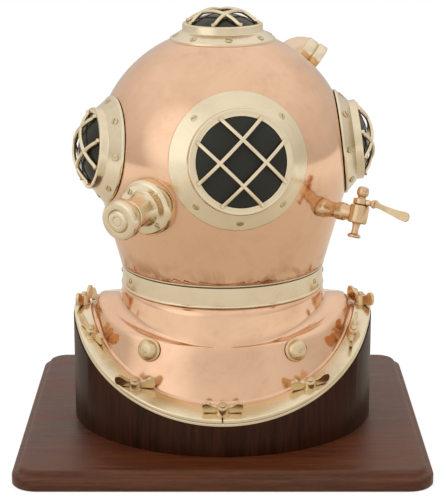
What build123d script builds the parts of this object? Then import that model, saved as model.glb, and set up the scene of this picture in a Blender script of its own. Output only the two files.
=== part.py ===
from build123d import *
import math
import os

os.makedirs("parts", exist_ok=True)

# A copper diving helmet with brass fittings, resting on its wooden stand.
# Millimetres, Z up, front window towards -Y, bonnet axis on Z, plinth underside at zero.

# Shared clearances
running_gap = 0.3
seat_gap = 0.95
bore_fit = 0.05
overrun = 40.0
round_sides = 36
small_round_sides = 24
oval_sides = 48

# Stand
plinth_width = 440.6
plinth_depth = 402.0
plinth_thickness = 19.8
plinth_corner = 28.0
plinth_tier_height = 6.0
plinth_tier_inset = 9.0
plinth_bevel = 2.5
drum_side_margin = 0.8
drum_end_margin = 1.1

# Saddle line of the shoulder rim, seen from the side
saddle_peak = 152.7
saddle_angle = 33.2
saddle_radius = 80.0

# Rim band and brails, each wider at the sides than at the ends
rim_half_width = 166.0
rim_half_depth = 152.5
rim_side_width = 28.0
rim_end_width = 22.0
rim_thickness = 2.6
brail_side_width = 19.0
brail_end_width = 16.9
brail_thickness = 3.6
brail_split = 0.8

# Wing nuts, standing on the middle of the brails
nut_side_inset = 11.0
nut_end_inset = 9.2
nut_front_angles = (0.0, 39.0, 69.0)
nut_hub_radius = 6.6
nut_hub_height = 11.0
nut_wing_thickness = 3.2
nut_wing_reach = 21.0
nut_wing_height = 20.0
nut_wing_root_height = 2.5
nut_wing_shoulder = 6.0
nut_hub_sides = 8
nut_twists = (5.0, 14.0, -18.0, 8.0, 24.0, 0.0, -12.0, 17.0, 35.0, -8.0, 30.0, 11.0)

# Corselet
neck_radius = 111.6
neck_ring_bottom = 170.3
neck_ring_top = 192.4
skirt_slope = 0.13
skirt_foot_height = 100.0
shoulder_height = 155.5
shoulder_side_inset = 27.0
shoulder_end_inset = 40.5
chest_angle = 13.5
chest_height = 40.0
tent_angle = 13.5
tent_radius = 80.0
corselet_wall = 2.0

# Neck joint
neck_ring_wall = 4.3
neck_bead_height = 3.0
neck_bead_depth = 1.3
neck_sides = 48
gasket_thickness = 1.2
gasket_width = 5.0
bonnet_ring_wall = 4.3
bonnet_ring_depth = 15.0
bonnet_lip_height = 1.6
bonnet_lip_overhang = 1.0

# Bonnet
bonnet_radius = 139.8
bonnet_wall = 2.0
bonnet_sink = 22.4
gore_count = 24
inner_gore_count = 10
bonnet_yaw = 7.4

# Windows
window_elevation = 6.8
front_elevation = 8.8
left_window_turn = 78.9
right_window_turn = 83.8
flange_edge = 3.0
glass_edge_drop = 4.0
glass_dome_height = 5.0
glass_ledge = 3.5
glass_brow_share = 0.8
glass_crown_share = 0.4
front_flange_radius = 72.0
front_rim_radius = 53.0
front_bore_radius = 45.0
front_base_stand = -0.3
front_face_stand = 10.7
small_flange_radius = 57.0
small_rim_radius = 43.5
small_bore_radius = 37.0
small_base_stand = 2.8
small_face_stand = 11.4
top_rim_drop = 4.0

# Window guards
guard_bar_width = 3.6
guard_bar_depth = 4.0
guard_foot = 4.5
guard_rise = 11.0
guard_pitch_share = 0.355
guard_reach_share = 0.94
guard_chords = 4

# Exhaust valve
fitting_root = 24.8
exhaust_turn = -33.2
exhaust_elevation = -5.2
exhaust_drop = 17.1
exhaust_flange_radius = 30.0
exhaust_flange_stand = 10.2
exhaust_flange_bevel = 3.0
exhaust_neck_radius = 16.0
exhaust_neck_length = 25.0
spindle_radius = 5.0
spindle_sides = 12
exhaust_bore_depth = 25.0
spindle_length = 38.0
wheel_radius = 21.0
wheel_gap = 6.5
wheel_thickness = 15.0
wheel_boss_radius = 11.0
wheel_boss_height = 2.0

# Spitcock
spitcock_turn = 50.4
spitcock_drop = 38.2
spitcock_collar_radius = 10.0
spitcock_collar_stand = 2.7
spitcock_cone_length = 15.0
spitcock_cone_radius = 8.0
spitcock_ring_width = 8.5
spitcock_ring_radius = 9.3
spitcock_barrel_reach = 17.0
spitcock_barrel_radius = 10.0
spitcock_barrel_half = 9.5
spitcock_tilt = 18.5
plug_radius = 5.2
plug_cap_radius = 8.0
plug_cap_top = 16.0
plug_neck_radius = 4.4
plug_neck_top = 19.0
knob_radius = 6.3
knob_shoulder = 2.4
knob_top = 29.0
plug_tail_radius = 3.9
plug_button_radius = 7.0
plug_button_start = 21.0
plug_button_end = 25.0
lever_shaft_radius = 2.8
lever_shaft_end = 18.0
lever_height = 12.8
lever_length = 61.0
lever_nib = 5.0
lever_root = 3.0
lever_end_width = 10.0
lever_drop = 7.0
lever_corner = 3.0
lever_thickness = 3.0

# Air elbow and its union
elbow_turn = 130.0
elbow_elevation = 46.6
elbow_end_direction = (0.853, -0.017, -0.520)
elbow_radius = 12.6
elbow_bore = 9.5
elbow_flange_radius = 17.0
elbow_flange_thickness = 2.0
elbow_start_leg = 7.6
elbow_leg = 7.0
elbow_mitres = 3
elbow_end_leg = 4.5
union_radius = 14.6
union_collar = 7.0
union_nut_radius = 15.6
union_nut_length = 12.0

# Harness buttons on the chest
harness_half_spacing = 78.0
harness_height = 122.0
harness_foot_radius = 7.0
harness_head_radius = 10.5
harness_head_thickness = 3.5
harness_length = 9.0

# Safety catch at the back of the neck
catch_rise = 10.2
catch_stand = 9.4
catch_thickness = 3.0
catch_width = 8.0
catch_reach = 22.0
catch_pin_radius = 2.5
bracket_width = 16.0
bracket_height = 14.0
keeper_width = 8.0
keeper_rise = 2.0
keeper_height = 9.0
keeper_depth = 11.0
keeper_gap = 0.6

# Places worked out from the sizes
drum_half_width = rim_half_width + drum_side_margin
drum_half_depth = rim_half_depth + drum_end_margin
rim_inner_half_width = rim_half_width - rim_side_width
rim_inner_half_depth = rim_half_depth - rim_end_width
brail_inner_half_width = rim_half_width - brail_side_width
brail_inner_half_depth = rim_half_depth - brail_end_width
nut_line_half_width = rim_half_width - nut_side_inset
nut_line_half_depth = rim_half_depth - nut_end_inset
shoulder_half_width = rim_half_width - shoulder_side_inset
shoulder_half_depth = rim_half_depth - shoulder_end_inset
spigot_radius = neck_radius - neck_ring_wall - running_gap
lip_bottom = neck_ring_top + gasket_thickness + running_gap
lip_top = lip_bottom + bonnet_lip_height
bonnet_centre_height = lip_top + bonnet_radius - bonnet_sink
bonnet_centre = Vector(0, 0, bonnet_centre_height)
front_rim_base = bonnet_radius + front_base_stand
front_rim_face = bonnet_radius + front_face_stand
small_rim_base = bonnet_radius + small_base_stand
small_rim_face = bonnet_radius + small_face_stand
fitting_start = bonnet_radius - fitting_root
exhaust_flange_face = bonnet_radius + exhaust_flange_stand
exhaust_neck_face = exhaust_flange_face + exhaust_neck_length
wheel_back = exhaust_neck_face + wheel_gap
wheel_front = wheel_back + wheel_thickness
spitcock_collar_end = bonnet_radius + spitcock_collar_stand
spitcock_cone_end = spitcock_collar_end + spitcock_cone_length
spitcock_ring_end = spitcock_cone_end + spitcock_ring_width
spitcock_barrel_centre = spitcock_ring_end + spitcock_barrel_reach
catch_pivot_height = neck_ring_bottom + catch_rise
catch_plane = neck_radius + catch_stand
keeper_bottom = lip_top + keeper_rise
saddle_slope = math.tan(math.radians(saddle_angle))
saddle_cos = math.cos(math.radians(saddle_angle))
saddle_sin = math.sin(math.radians(saddle_angle))
tent_cos = math.cos(math.radians(tent_angle))
reach = drum_half_width + overrun


def roof(peak, angle, radius, lift, level):
    # A ridged prism along X, its upper or lower side the two slopes, closed at a level
    slope = math.tan(math.radians(angle))
    corner = peak + lift / math.cos(math.radians(angle))
    with BuildPart() as prism:
        with BuildSketch(Plane.YZ):
            with BuildLine():
                Polyline((-reach, corner - reach * slope), (0, corner), (reach, corner - reach * slope),
                         (reach, level), (-reach, level), close=True)
            make_face()
            ridge = vertices().filter_by(lambda v: abs(v.X) < bore_fit)
            fillet(ridge, radius + lift)
        extrude(amount=reach, both=True)
    return prism.part


def saddle_below(lift):
    return roof(saddle_peak, saddle_angle, saddle_radius, lift, -overrun)


def saddle_above(lift):
    return roof(saddle_peak, saddle_angle, saddle_radius, lift, bonnet_centre_height)


def face_plane(turn, elevation):
    # A plane at the bonnet's centre that looks out along a turn from the front and an elevation
    turn = math.radians(turn)
    rise = math.radians(elevation)
    outward = (math.sin(turn) * math.cos(rise), -math.cos(turn) * math.cos(rise), math.sin(rise))
    return Plane(origin=bonnet_centre, x_dir=(math.cos(turn), math.sin(turn), 0), z_dir=outward)


def faceted(plane, stages, sides=round_sides):
    # Stacked prisms of one side count, from (start, end, start radius, end radius) stages
    with BuildPart() as piece:
        for start, end, start_radius, end_radius in stages:
            lean = math.atan2((start_radius - end_radius) * math.cos(math.pi / sides), end - start)
            with BuildSketch(plane.offset(start)):
                RegularPolygon(start_radius, sides)
            extrude(amount=end - start, taper=math.degrees(lean))
    return piece.part


def oval(half_width, half_depth, sides):
    # Corner points of an oval drawn in flats
    points = []
    for step in range(sides):
        angle = 2 * math.pi * (step + 0.5) / sides
        points.append((half_width * math.cos(angle), half_depth * math.sin(angle)))
    return points


def ball_depth(radius):
    # Distance from the centre at which a circle of this radius lies on the bonnet
    return math.sqrt(bonnet_radius ** 2 - radius ** 2)


# Plinth
with BuildPart() as plinth:
    with BuildSketch(Plane.XY):
        RectangleRounded(plinth_width, plinth_depth, plinth_corner)
    extrude(amount=plinth_thickness - plinth_tier_height)
    with BuildSketch(Plane.XY.offset(plinth_thickness - plinth_tier_height)):
        RectangleRounded(plinth_width - 2 * plinth_tier_inset, plinth_depth - 2 * plinth_tier_inset,
                         plinth_corner - plinth_tier_inset)
    extrude(amount=plinth_tier_height)
    chamfer(plinth.edges().group_by(Axis.Z)[-1], plinth_bevel)
plinth.part.label = "plinth"
export_step(plinth.part, "parts/plinth.step")

# Oval drum of the stand, its top cut to the saddle line
with BuildPart() as stand_drum:
    with BuildSketch(Plane.XY.offset(plinth_thickness)):
        Polygon(*oval(drum_half_width, drum_half_depth, oval_sides), align=None)
    extrude(amount=saddle_peak - plinth_thickness)
    add(saddle_above(-running_gap), mode=Mode.SUBTRACT)
stand_drum.part.label = "stand_drum"
export_step(stand_drum.part, "parts/stand_drum.step")


def saddle_band(half_width, half_depth, inner_half_width, inner_half_depth, low, high):
    # An oval band that lies between two lifts of the saddle line
    with BuildPart() as band:
        with BuildSketch(Plane.XY):
            Polygon(*oval(half_width, half_depth, oval_sides), align=None)
            Polygon(*oval(inner_half_width, inner_half_depth, oval_sides), align=None, mode=Mode.SUBTRACT)
        extrude(amount=saddle_peak + overrun)
        add(saddle_below(high), mode=Mode.INTERSECT)
        add(saddle_below(low), mode=Mode.SUBTRACT)
    return band.part


# Rim of the corselet
with BuildPart() as corselet_rim:
    add(saddle_band(rim_half_width, rim_half_depth, rim_inner_half_width, rim_inner_half_depth,
                    0, rim_thickness))
corselet_rim.part.label = "corselet_rim"
export_step(corselet_rim.part, "parts/corselet_rim.step")

# Four brails, split at the shoulders and on the middle line
brail_ring = saddle_band(rim_half_width, rim_half_depth, brail_inner_half_width,
                         brail_inner_half_depth, rim_thickness, rim_thickness + brail_thickness)
brail_places = {"front_left_brail": (-1, -1), "front_right_brail": (1, -1),
                "rear_left_brail": (-1, 1), "rear_right_brail": (1, 1)}
for brail_name, (side, end) in brail_places.items():
    with BuildPart() as brail:
        add(brail_ring)
        with BuildSketch(Plane.XY):
            with Locations((side * (reach + brail_split) / 2, end * (reach + brail_split) / 2)):
                Rectangle(reach, reach)
        extrude(amount=bonnet_centre_height, mode=Mode.INTERSECT)
    brail.part.label = brail_name
    export_step(brail.part, "parts/" + brail_name + ".step")


# Wing nuts, each square to the brail that it clamps
def nut_plane(angle, twist):
    across = math.radians(angle)
    reach_x = math.sin(across)
    reach_y = -math.cos(across)
    size = 1 / math.hypot(reach_x / nut_line_half_width, reach_y / nut_line_half_depth)
    foot_x = reach_x * size
    foot_y = reach_y * size
    lift = rim_thickness + brail_thickness
    half_ridge = (saddle_radius + lift) * saddle_sin
    if abs(foot_y) < half_ridge:
        lean = math.asin(foot_y / (saddle_radius + lift))
        base = saddle_peak - saddle_radius / saddle_cos + (saddle_radius + lift) * math.cos(lean)
    else:
        lean = math.copysign(math.radians(saddle_angle), foot_y)
        base = saddle_peak + lift / saddle_cos - abs(foot_y) * saddle_slope
    normal = Vector(0, math.sin(lean), math.cos(lean))
    along = Vector(-reach_y / nut_line_half_depth ** 2, reach_x / nut_line_half_width ** 2, 0)
    across_dir = along.normalized() - normal * along.normalized().dot(normal)
    wing_dir = across_dir.normalized().rotate(Axis((0, 0, 0), normal), twist)
    return Plane(origin=(foot_x, foot_y, base), x_dir=wing_dir, z_dir=normal)


nut_angles = [angle + turn for angle in nut_front_angles for turn in (0, 180)]
nut_angles += [-angle - turn for angle in nut_front_angles[1:] for turn in (0, 180)]
nut_angles += [90, -90]
nut_angles.sort()

with BuildPart() as wing_nuts:
    for nut_angle, nut_twist in zip(nut_angles, nut_twists):
        seat = nut_plane(nut_angle, nut_twist)
        with BuildSketch(seat):
            RegularPolygon(nut_hub_radius, nut_hub_sides)
        extrude(amount=nut_hub_height)
        upright = Plane(origin=seat.origin, x_dir=seat.x_dir, z_dir=seat.y_dir * -1)
        with BuildSketch(upright):
            with BuildLine():
                Polyline((0, 0), (nut_hub_radius, 0), (nut_wing_reach, nut_wing_root_height + nut_wing_shoulder),
                         (nut_wing_reach, nut_wing_height - nut_wing_root_height),
                         (nut_wing_reach - nut_wing_root_height, nut_wing_height),
                         (nut_wing_reach - nut_wing_shoulder, nut_wing_height),
                         (nut_hub_radius, nut_hub_height), (0, nut_hub_height), close=True)
            make_face()
            mirror(about=Plane.YZ)
        extrude(amount=nut_wing_thickness / 2, both=True)
wing_nuts.part.label = "wing_nuts"
export_step(wing_nuts.part, "parts/wing_nuts.step")


# Corselet shell: a neck skirt that runs into sloping shoulders over the oval chest
def corselet_body(inset, top, sides):
    outline = oval(shoulder_half_width - inset, shoulder_half_depth - inset, sides)
    skirt_foot_radius = neck_radius - inset + skirt_slope * (top - skirt_foot_height)
    with BuildPart() as body:
        with BuildSketch(Plane.XY.offset(shoulder_height)):
            Polygon(*outline, align=None)
        extrude(amount=chest_height - shoulder_height, taper=-chest_angle)
        peak = shoulder_height - inset + (tent_radius - inset) * (1 / tent_cos - 1)
        add(roof(peak, tent_angle, tent_radius - inset, 0, -overrun), mode=Mode.INTERSECT)
        add(faceted(Plane.XY, [(skirt_foot_height, top, skirt_foot_radius, neck_radius - inset)], sides))
    return body.part


with BuildPart() as corselet_shell:
    add(corselet_body(0, neck_ring_bottom, oval_sides))
    add(corselet_body(corselet_wall, neck_ring_bottom, oval_sides), mode=Mode.SUBTRACT)
    add(saddle_below(rim_thickness), mode=Mode.SUBTRACT)
corselet_shell.part.label = "corselet_shell"
export_step(corselet_shell.part, "parts/corselet_shell.step")

# Neck ring on the corselet
neck_bore_radius = (spigot_radius + running_gap) / math.cos(math.pi / neck_sides)
bead_top = neck_ring_bottom + neck_bead_height
with BuildPart() as corselet_neck_ring:
    add(faceted(Plane.XY, [(neck_ring_bottom, bead_top, neck_radius + neck_bead_depth,
                            neck_radius + neck_bead_depth),
                           (bead_top, neck_ring_top, neck_radius, neck_radius)], neck_sides))
    add(faceted(Plane.XY, [(neck_ring_bottom, neck_ring_top, neck_bore_radius, neck_bore_radius)],
                neck_sides), mode=Mode.SUBTRACT)
corselet_neck_ring.part.label = "corselet_neck_ring"
export_step(corselet_neck_ring.part, "parts/corselet_neck_ring.step")

# Leather washer between the two rings
with BuildPart() as neck_gasket:
    with BuildSketch(Plane.XY.offset(neck_ring_top)):
        RegularPolygon(neck_bore_radius + gasket_width, neck_sides)
        RegularPolygon(neck_bore_radius, neck_sides, mode=Mode.SUBTRACT)
    extrude(amount=gasket_thickness)
neck_gasket.part.label = "neck_gasket"
export_step(neck_gasket.part, "parts/neck_gasket.step")

# Ring under the bonnet, with the spigot that turns in the neck ring
spigot_bottom = lip_bottom - bonnet_ring_depth
lip_radius = neck_radius + bonnet_lip_overhang
with BuildPart() as bonnet_neck_ring:
    add(faceted(Plane.XY, [(spigot_bottom, lip_bottom, spigot_radius, spigot_radius),
                           (lip_bottom, lip_top, lip_radius, lip_radius)], neck_sides))
    with BuildSketch(Plane.XY.offset(spigot_bottom)):
        RegularPolygon(spigot_radius - bonnet_ring_wall, neck_sides)
    extrude(amount=lip_top - spigot_bottom, mode=Mode.SUBTRACT)
bonnet_neck_ring.part.label = "bonnet_neck_ring"
export_step(bonnet_neck_ring.part, "parts/bonnet_neck_ring.step")


# Bonnet shell, a ball on a tapered neck, drawn as upright gores that are each curved one way
def gored_ball(radius, mouth_radius, gores, crown_radius):
    flat = math.cos(math.pi / gores)
    below = bonnet_centre_height - lip_top
    spread = math.hypot(mouth_radius, below)
    meeting = math.acos(radius / spread) - math.atan2(below, mouth_radius)
    rim_point = (mouth_radius * flat, lip_top)
    taper_point = (radius * flat * math.cos(meeting), bonnet_centre_height + radius * flat * math.sin(meeting))
    crown_level = bonnet_centre_height + math.sqrt((radius * flat) ** 2 - crown_radius ** 2)
    with BuildPart() as ball:
        for step in range(gores // 2):
            upright = Plane.XZ.rotated((0, 0, 360 * step / gores))
            with BuildSketch(upright):
                with BuildLine():
                    Polyline((0, crown_level), (0, lip_top), rim_point, taper_point)
                    ThreePointArc(taper_point, (radius * flat, bonnet_centre_height), (crown_radius, crown_level))
                    Line((crown_radius, crown_level), (0, crown_level))
                make_face()
                mirror(about=Plane.YZ)
            extrude(amount=2 * radius, both=True, mode=Mode.INTERSECT if step else Mode.ADD)
    return ball.part


mouth_radius = neck_radius + bonnet_lip_overhang
crown_drop = bonnet_radius * (1 - math.cos(math.pi / gore_count))
windows = {
    "front_window": (face_plane(bonnet_yaw, front_elevation), front_flange_radius, front_rim_radius,
                     front_bore_radius, front_rim_base, front_rim_face),
    "left_window": (face_plane(bonnet_yaw - left_window_turn, window_elevation), small_flange_radius,
                    small_rim_radius, small_bore_radius, small_rim_base, small_rim_face),
    "right_window": (face_plane(bonnet_yaw + right_window_turn, window_elevation), small_flange_radius,
                     small_rim_radius, small_bore_radius, small_rim_base, small_rim_face),
    "top_window": (face_plane(bonnet_yaw, 90).offset(-crown_drop), small_flange_radius, small_rim_radius,
                   small_bore_radius, small_rim_base - top_rim_drop, small_rim_face - top_rim_drop),
}
crown_hole = small_bore_radius - glass_ledge
exhaust_plane = face_plane(exhaust_turn, exhaust_elevation)
exhaust_plane.origin = (0, 0, bonnet_centre_height - exhaust_drop)
elbow_plane = face_plane(elbow_turn, elbow_elevation)
cock_plane = face_plane(spitcock_turn, 0)
cock_plane.origin = (0, 0, bonnet_centre_height - spitcock_drop)

with BuildPart() as bonnet_shell:
    flat_share = math.cos(math.pi / gore_count)
    add(gored_ball(bonnet_radius, mouth_radius, gore_count, crown_hole))
    add(gored_ball((bonnet_radius - bonnet_wall) * flat_share, (mouth_radius - bonnet_wall) * flat_share,
                   inner_gore_count, crown_hole), mode=Mode.SUBTRACT)
    hole_start = bonnet_radius / 2
    add(faceted(Plane(bonnet_centre), [(hole_start, bonnet_radius, crown_hole, crown_hole)],
                small_round_sides), mode=Mode.SUBTRACT)
    for name in ("front_window", "left_window", "right_window"):
        view, flange, rim, bore, base, face = windows[name]
        add(faceted(view, [(hole_start, bonnet_radius, bore - glass_ledge, bore - glass_ledge)],
                    small_round_sides), mode=Mode.SUBTRACT)
    add(faceted(elbow_plane, [(hole_start, bonnet_radius, elbow_bore, elbow_bore)],
                small_round_sides), mode=Mode.SUBTRACT)
bonnet_shell.part.label = "bonnet_shell"
export_step(bonnet_shell.part, "parts/bonnet_shell.step")

# What the fittings on the bonnet are cut back by, so that they lie on its gores
bonnet_form = gored_ball(bonnet_radius + bore_fit, mouth_radius + bore_fit, gore_count, crown_hole)


# Windows
def window_frame(view, flange, rim, bore, base, face):
    edge = ball_depth(flange) + seat_gap
    with BuildPart() as frame:
        add(faceted(view, [(edge, edge + flange_edge, flange, flange),
                           (edge + flange_edge, base, flange, rim), (base, face, rim, rim)]))
        add(faceted(view, [(edge, ball_depth(bore) + seat_gap, flange, bore)]), mode=Mode.SUBTRACT)
        add(faceted(view, [(edge, face, bore, bore)]), mode=Mode.SUBTRACT)
    return frame.part


def window_glass(view, bore, face):
    # A thick pane, domed in two steps under the guard
    back = ball_depth(bore - glass_ledge) + bore_fit
    radius = bore * math.cos(math.pi / round_sides) - bore_fit
    brow = face - glass_edge_drop
    crown = face + glass_dome_height
    middle = (brow + crown) / 2 + glass_edge_drop / 4
    return faceted(view, [(back, brow, radius, radius), (brow, middle, radius, radius * glass_brow_share),
                          (middle, crown, radius * glass_brow_share, radius * glass_crown_share)],
                   small_round_sides)


def window_guard(view, rim, face):
    pitch = rim * guard_pitch_share
    end = math.sqrt((rim * guard_reach_share) ** 2 - (pitch + guard_bar_width / 2) ** 2)
    span = end - guard_foot
    radius = (span ** 2 + guard_rise ** 2) / (2 * guard_rise)
    swing = math.asin(span / radius)
    under = []
    for step in range(guard_chords + 1):
        angle = swing * (2 * step / guard_chords - 1)
        under.append((radius * math.sin(angle), face + guard_rise - radius * (1 - math.cos(angle))))
    over = [(along, out + guard_bar_depth) for along, out in reversed(under)]
    outline = [(-end, face)] + under + [(end, face), (end, face + guard_bar_depth)] + over
    outline += [(-end, face + guard_bar_depth)]
    with BuildPart() as guard:
        for quarter in (45, 135):
            along_bar = view.x_dir.rotate(Axis((0, 0, 0), view.z_dir), quarter)
            across_bar = view.z_dir.cross(along_bar)
            for side in (-1, 1):
                start = view.origin + across_bar * (side * pitch)
                bar_plane = Plane(origin=start, x_dir=along_bar, z_dir=across_bar * -1)
                with BuildSketch(bar_plane):
                    with BuildLine():
                        Polyline(*outline, close=True)
                    make_face()
                extrude(amount=guard_bar_width / 2, both=True)
    return guard.part


for name, (view, flange, rim, bore, base, face) in windows.items():
    pieces = {"frame": window_frame(view, flange, rim, bore, base, face),
              "glass": window_glass(view, bore, face), "guard": window_guard(view, rim, face)}
    for piece_name, piece in pieces.items():
        piece.label = name + "_" + piece_name
        export_step(piece, "parts/" + piece.label + ".step")

# Exhaust valve
spindle_bore_radius = (spindle_radius + bore_fit) / math.cos(math.pi / spindle_sides)
with BuildPart() as exhaust_valve_base:
    bevel_start = exhaust_flange_face - exhaust_flange_bevel
    add(faceted(exhaust_plane, [(fitting_start, bevel_start, exhaust_flange_radius, exhaust_flange_radius),
                                (bevel_start, exhaust_flange_face, exhaust_flange_radius,
                                 exhaust_flange_radius - exhaust_flange_bevel),
                                (exhaust_flange_face, exhaust_neck_face, exhaust_neck_radius,
                                 exhaust_neck_radius)], small_round_sides))
    add(bonnet_form, mode=Mode.SUBTRACT)
    add(faceted(exhaust_plane, [(exhaust_neck_face - exhaust_bore_depth, exhaust_neck_face,
                                 spindle_bore_radius, spindle_bore_radius)], spindle_sides),
        mode=Mode.SUBTRACT)
exhaust_valve_base.part.label = "exhaust_valve_base"
export_step(exhaust_valve_base.part, "parts/exhaust_valve_base.step")

spindle_front = wheel_front - wheel_boss_height
with BuildPart() as exhaust_spindle:
    add(faceted(exhaust_plane, [(spindle_front - spindle_length, spindle_front,
                                 spindle_radius, spindle_radius)], spindle_sides))
exhaust_spindle.part.label = "exhaust_spindle"
export_step(exhaust_spindle.part, "parts/exhaust_spindle.step")

with BuildPart() as exhaust_wheel:
    add(faceted(exhaust_plane, [(wheel_back, spindle_front, wheel_radius, wheel_radius),
                                (spindle_front, wheel_front, wheel_boss_radius, wheel_boss_radius)],
                small_round_sides))
    add(faceted(exhaust_plane, [(wheel_back, spindle_front, spindle_bore_radius, spindle_bore_radius)],
                spindle_sides), mode=Mode.SUBTRACT)
exhaust_wheel.part.label = "exhaust_wheel"
export_step(exhaust_wheel.part, "parts/exhaust_wheel.step")

# Spitcock
cock_out = cock_plane.z_dir
barrel_lean = math.radians(spitcock_tilt)
barrel_up = cock_plane.y_dir * math.cos(barrel_lean) + cock_plane.x_dir * math.sin(barrel_lean)
barrel_plane = Plane(origin=cock_plane.origin + cock_out * spitcock_barrel_centre, x_dir=cock_out,
                     z_dir=barrel_up)
plug_bore_radius = (plug_radius + bore_fit) / math.cos(math.pi / spindle_sides)
with BuildPart() as spitcock_body:
    add(faceted(cock_plane, [(fitting_start, spitcock_collar_end, spitcock_collar_radius,
                              spitcock_collar_radius),
                             (spitcock_collar_end, spitcock_cone_end, spitcock_collar_radius,
                              spitcock_cone_radius),
                             (spitcock_cone_end, spitcock_ring_end, spitcock_ring_radius,
                              spitcock_ring_radius),
                             (spitcock_ring_end, spitcock_barrel_centre, spitcock_cone_radius,
                              spitcock_cone_radius)], spindle_sides))
    add(faceted(barrel_plane, [(-spitcock_barrel_half, spitcock_barrel_half, spitcock_barrel_radius,
                                spitcock_barrel_radius)], spindle_sides))
    add(faceted(barrel_plane, [(-spitcock_barrel_half, spitcock_barrel_half, plug_bore_radius,
                                plug_bore_radius)], spindle_sides), mode=Mode.SUBTRACT)
    add(bonnet_form, mode=Mode.SUBTRACT)
spitcock_body.part.label = "spitcock_body"
export_step(spitcock_body.part, "parts/spitcock_body.step")

cap_bottom = spitcock_barrel_half + running_gap
with BuildPart() as spitcock_plug:
    add(faceted(barrel_plane, [(-plug_button_end, -plug_button_start, plug_button_radius, plug_button_radius),
                               (-plug_button_start, -cap_bottom, plug_tail_radius, plug_tail_radius),
                               (-cap_bottom, cap_bottom, plug_radius, plug_radius),
                               (cap_bottom, plug_cap_top, plug_cap_radius, plug_cap_radius),
                               (plug_cap_top, plug_neck_top, plug_neck_radius, plug_neck_radius),
                               (plug_neck_top, plug_neck_top + knob_shoulder, plug_neck_radius, knob_radius),
                               (plug_neck_top + knob_shoulder, knob_top - knob_shoulder, knob_radius,
                                knob_radius),
                               (knob_top - knob_shoulder, knob_top, knob_radius, plug_neck_radius)],
                spindle_sides))
spitcock_plug.part.label = "spitcock_plug"
export_step(spitcock_plug.part, "parts/spitcock_plug.step")

lever_plane = Plane(origin=barrel_plane.origin + barrel_up * lever_height, x_dir=cock_out,
                    z_dir=cock_out.cross(barrel_up) * -1)
lever_shaft_plane = Plane(origin=lever_plane.origin, x_dir=barrel_up, z_dir=cock_out)
with BuildPart() as spitcock_lever:
    add(faceted(lever_shaft_plane, [(plug_cap_radius, lever_shaft_end, lever_shaft_radius,
                                     lever_shaft_radius)], nut_hub_sides))
    with BuildSketch(lever_plane):
        with BuildLine():
            Polyline((lever_shaft_end - lever_root, -lever_root), (lever_shaft_end, lever_nib),
                     (lever_shaft_end + lever_root, lever_root),
                     (lever_length - lever_corner, lever_end_width / 2 - lever_drop),
                     (lever_length, lever_end_width / 2 - lever_drop - lever_corner),
                     (lever_length, lever_corner - lever_end_width / 2 - lever_drop),
                     (lever_length - lever_corner, -lever_end_width / 2 - lever_drop),
                     (lever_shaft_end + lever_corner, -lever_root), close=True)
        make_face()
    extrude(amount=lever_thickness / 2, both=True)
spitcock_lever.part.label = "spitcock_lever"
export_step(spitcock_lever.part, "parts/spitcock_lever.step")

# Air elbow, mitred from the bonnet round to its union
end_way = Vector(*elbow_end_direction).normalized()
rise_way = elbow_plane.z_dir
side_way = (end_way - rise_way * end_way.dot(rise_way)).normalized()
elbow_start = ball_depth(elbow_bore) + 2 * bore_fit
path = [elbow_plane.origin + rise_way * elbow_start]
legs = [elbow_start_leg] + [elbow_leg] * (elbow_mitres - 1) + [elbow_end_leg]
for step, leg in enumerate(legs):
    swing = math.pi / 2 * step / elbow_mitres
    path.append(path[-1] + (rise_way * math.cos(swing) + side_way * math.sin(swing)) * leg)


def mitred(radius):
    with BuildPart() as tube:
        with BuildLine() as line:
            Polyline(*path)
        with BuildSketch(Plane(origin=path[0], x_dir=side_way, z_dir=rise_way)):
            RegularPolygon(radius, spindle_sides)
        sweep(path=line.wires()[0], transition=Transition.RIGHT)
    return tube.part


with BuildPart() as air_elbow:
    add(mitred(elbow_radius))
    add(faceted(elbow_plane, [(elbow_start, elbow_start + elbow_flange_thickness,
                               elbow_flange_radius, elbow_flange_radius)], small_round_sides))
    add(mitred(elbow_bore), mode=Mode.SUBTRACT)
air_elbow.part.label = "air_elbow"
export_step(air_elbow.part, "parts/air_elbow.step")

union_plane = Plane(origin=path[-1], x_dir=rise_way, z_dir=side_way)
union_end = union_collar + union_nut_length
with BuildPart() as air_union:
    add(faceted(union_plane, [(0, union_collar, union_radius, union_radius),
                              (union_collar, union_end, union_nut_radius, union_nut_radius)],
                small_round_sides))
    with BuildSketch(union_plane):
        Circle(elbow_bore)
    extrude(amount=union_end, mode=Mode.SUBTRACT)
air_union.part.label = "air_union"
export_step(air_union.part, "parts/air_union.step")

# Harness buttons, square to the chest on each side of the middle
with BuildPart() as harness_buttons:
    for side in (-1, 1):
        spread = math.tan(math.radians(chest_angle)) * (shoulder_height - harness_height)
        width = shoulder_half_width + spread
        depth = shoulder_half_depth + spread
        foot_x = side * harness_half_spacing
        foot_y = -depth * math.sqrt(1 - (foot_x / width) ** 2)
        plan = Vector(foot_x / width ** 2, foot_y / depth ** 2, 0).normalized()
        lean = math.radians(chest_angle)
        outward = plan * math.cos(lean) + Vector(0, 0, math.sin(lean))
        button_plane = Plane(origin=(foot_x, foot_y, harness_height), z_dir=outward)
        add(faceted(button_plane, [(running_gap, harness_length - harness_head_thickness, harness_foot_radius,
                                    harness_foot_radius),
                                   (harness_length - harness_head_thickness, harness_length,
                                    harness_head_radius, harness_head_radius)], small_round_sides))
harness_buttons.part.label = "harness_buttons"
export_step(harness_buttons.part, "parts/harness_buttons.step")

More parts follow.
